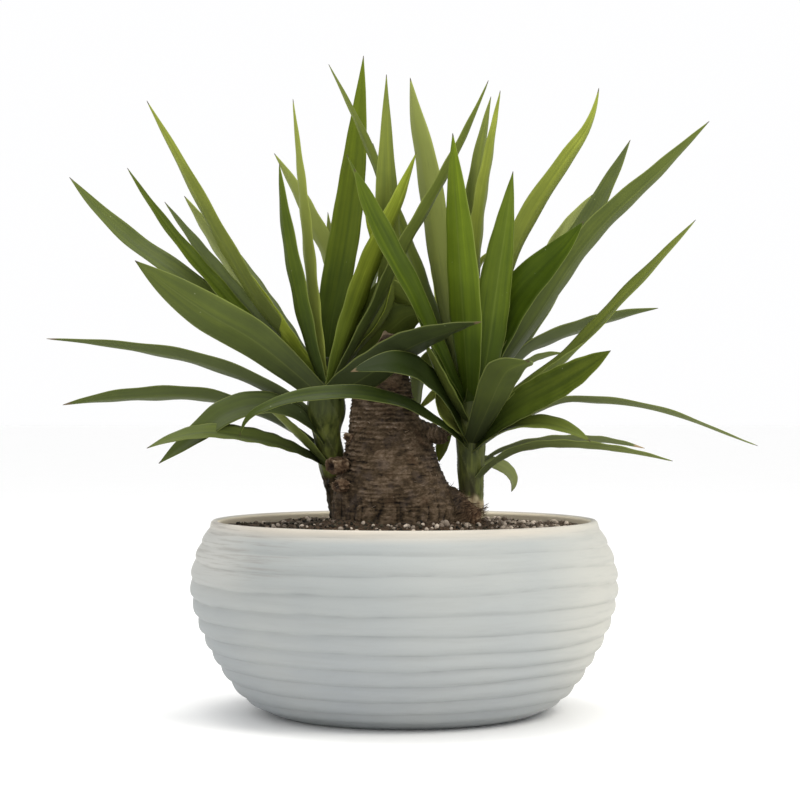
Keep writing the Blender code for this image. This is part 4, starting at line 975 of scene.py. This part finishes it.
def strips(skin, centre, count, husk, lean, length, lift, half, flat, seed):
    """Strips from random points of a skin: root + length u along + lift u^2 out, with rings of
    three points, half wide and flat times as thick. Lean turns them down from level, in radians,
    and the lengths are in millimetres. Where husk is 1, all sweep to the right and rise."""
    rng, swept = np.random.default_rng(seed), husk == 1
    root = skin.reshape(-1, 3)[rng.integers(0, skin.shape[0] * skin.shape[1], count)]
    root = root[root[:, 2] > SOIL_TOP + 0.002]

    def pick(low, high, scale=MM):
        """A chance number for each strip."""
        return rng.uniform(low / scale, high / scale, len(root))[:, None]

    out = outward(root, centre)
    level = np.cross((0, 0, 1), out)
    hand = np.where(level[:, :1] > 0, 1, -1) if swept else rng.choice([-1, 1], (len(root), 1))
    angle = pick(*lean, 1)
    rise = unit(out + (0, 0, 0.9 * swept))
    along = unit(level * np.cos(angle) * hand - np.array([0, 0, 1]) * np.sin(angle))
    u = np.linspace(0, 1, STRIP_RINGS)[:, None]
    middle = (root - out * STRIP_SUNK)[:, None] + (along * pick(*length))[:, None] * u
    middle = middle + rise[:, None] * (0.0009 * u + pick(*lift)[..., None] * u**2)
    turn = round_turn(STRIP_SIDES)[:, None]
    ring = np.cos(turn) * np.cross(along, out)[:, None] + flat * np.sin(turn) * out[:, None]
    made = middle[:, :, None] + (pick(*half)[..., None] * (1 - 0.8 * u))[..., None] * ring[:, None]
    tone = pick(-0.5, 1.0, 1)[..., None] - 0.5 * swept
    bare = 0.3 * rng.integers(0, 2, len(root))[:, None, None]
    return zip(made, np.broadcast_to(xyz(tone, bare, husk), made.shape))


fibres, marks = zip(*[pair for row in STRIPS for pair in strips(*row)])
dress("trunk_fibres", joined(fibres), bark, "bark", "trunk", relief=marks)

# %% [markdown]
# The soil is a lumpy disc that fills the bowl to a finger's width under the lip. On it lie pale
# pebbles and dark crumbs of bark and moss. The pebbles are one small ball, copied, turned and
# squashed at random in one array sum, so hundreds of them cost only a few lines.

# %% Soil
SOIL_ROUND, SOIL_GAP, HUB = 200, 0.0004, 0.004     # HUB is the radius of the last ring underneath
SOIL_SWELL, MOUND, CLODS, GRAINS = 0.0012, 0.0095, 0.0016, 0.0008     # heights of its forms
FOOT_X = -0.005                 # middle of the mound and of the cane's foot
SOIL_DARK, SOIL_BROWN, SOIL_SPECK = (0.015, 0.010, 0.006), (0.155, 0.100, 0.062), (0.078, 0.054, 0.035)

def soil_height(x, y):
    """Surface height: slow waves, a mound round the foot of the cane, and clods of two sizes."""
    waves = SOIL_SWELL * (np.sin(61 * x + 17 * y) + np.cos(53 * y - 23 * x))
    away = np.sqrt(((x - FOOT_X) / 0.082) ** 2 + (y / 0.066) ** 2)
    waves = waves + MOUND * np.clip(1.75 - away, 0, 0.75) / 0.75
    at = xyz(x, y)
    return SOIL_TOP + waves + CLODS * lumps(at, 0.011, 1) + GRAINS * lumps(at, 0.004, 2)


def soil_rings():
    """Rings from the centre out to the wall, then down it and back under."""
    turn, rim = round_turn(SOIL_ROUND), LIP_RADIUS - WALL - SOIL_GAP
    top = turned(np.concatenate([[0.002], np.linspace(0.01, rim, 90)])[:, None], 0.0, turn)
    top[..., 2] = soil_height(top[..., 0], top[..., 1])
    wall = [(r - WALL - SOIL_GAP, z) for r, z in POT_BODY if WALL < z < SOIL_TOP - WALL][::-1]
    wall = np.array(wall + [(BASE_RADIUS - SOIL_GAP, WALL + SOIL_GAP), (HUB, WALL + SOIL_GAP)])
    return np.concatenate([top, turned(wall[:, :1], wall[:, 1:], turn)])


def earth_finish():
    """Dark crumbly soil, blacker in the hollows of its bump as painted shade, with grey-brown specks."""
    place, sockets, material = finish_material("dark_soil", specular=0.15)
    fine, broad = noise(place, 420.0, 5.0, 0.7), noise(place, 45.0, 4.0)
    # Painted shade: the noise that makes the bump's hollows also darkens them.
    colour = blend(fine.ramp(0.35, 0.75), SOIL_DARK, SOIL_BROWN)
    colour = blend(broad.ramp(0.45, 0.70) * 0.5, colour, SOIL_SPECK)
    feed(sockets, Base_Color=colour, Roughness=0.88 + fine * 0.1, Normal=bump(fine, 0.0016, 0.9))
    return material


dress("soil_bed", joined([soil_rings()]), earth_finish(), "dark_soil", "soil")

# %% Pebbles and crumbs
TRIES = 8                       # places drawn for each stone wanted, before the unfit ones go
STONE_LUMPS, STONE_LIFT = 0.22, 0.35      # shares of a stone's radius, and of its least size
STONE_EDGE = 0.006              # soil left bare along the wall
PEBBLE_SEED, CRUMB_SEED = 7, 8

def scattered(name, count, radii, seed, level, fits, material, squash):
    """Copies of one ball: turned by a random rotation, scaled, pushed by noise, and dropped on the
    soil at reach sqrt(random), which spreads them evenly over the disc."""
    ball = bmesh.new()
    bmesh.ops.create_icosphere(ball, subdivisions=level, radius=1.0)
    base = np.array([v.co[:] for v in ball.verts])
    faces = np.array([[v.index for v in f.verts] for f in ball.faces])
    ball.free()
    rng, tries = np.random.default_rng(seed), TRIES * count
    reach = np.sqrt(rng.random(tries)) * (LIP_RADIUS - WALL - STONE_EDGE)
    way = rng.random(tries) * 2 * math.pi
    x, y = reach * np.cos(way), reach * np.sin(way)
    kept = np.flatnonzero(fits(x, y, rng.random(tries)))[:count]
    x, y, count = x[kept], y[kept], len(kept)
    size = rng.uniform(*radii, count)[:, None] * rng.uniform(squash, 1.0, (count, 3))
    turn, _ = np.linalg.qr(rng.normal(size=(count, 3, 3)))
    turn[:, :, 0] *= np.sign(np.linalg.det(turn))[:, None]
    body = base * (1 + STONE_LUMPS * lumps(base + rng.random((count, 1, 3)) * 90, 0.9)[..., None])
    points = np.einsum("nij,nvj->nvi", turn, body * size[:, None])
    points += xyz(x, y, soil_height(x, y) + size.min(axis=1) * STONE_LIFT)[:, None]
    every = faces + np.arange(count)[:, None, None] * len(base)
    shape = points.reshape(-1, 3).tolist(), every.reshape(-1, 3).tolist()
    tint = np.repeat(rng.random((count, 1, 3)), len(base), 1)
    dress(name, shape, material, "dark_soil", "soil", tint=[tint])


def stone_finish(name, low, high, roughness):
    """Stones between two colours, each by its own chance number, with fine grain."""
    place, sockets, material = finish_material(name, specular=0.25)
    own, grain = stored(place, "tint").part("X"), noise(place, 700.0, 3.0)
    colour = blend(own ** 1.7 * 0.90 + (grain - 0.5) * 0.5, low, high)
    feed(sockets, Base_Color=colour, Roughness=roughness + grain * 0.2, Normal=bump(grain, 0.0005, 0.6))
    return material


def off_foot(x, y):
    """True where a point lies outside the trunk's foot."""
    return ((x - FOOT_X) / 0.086) ** 2 + (y / 0.064) ** 2 > 1


def pebble_fits(x, y, chance):
    """Off the foot, and less and less often towards the left."""
    return off_foot(x, y) & (chance < 0.22 + 0.78 * np.clip((x + 0.08) / 0.12, 0, 1))


def crumb_fits(x, y, chance):
    """Off the foot, and less often on the right, where the pebbles are."""
    return off_foot(x, y) & (chance < 1.0 - 0.55 * (x > 0.02))


pale_stone = stone_finish("pale_pebble", (0.105, 0.075, 0.052), (0.68, 0.58, 0.475), 0.60)
dark_crumb = stone_finish("dark_crumb", (0.010, 0.009, 0.006), (0.085, 0.072, 0.045), 0.80)
scattered("pebbles", 620, (0.0016, 0.0042), PEBBLE_SEED, 2, pebble_fits, pale_stone, 0.62)
scattered("crumbs", 1500, (0.0010, 0.0030), CRUMB_SEED, 1, crumb_fits, dark_crumb, 0.35)
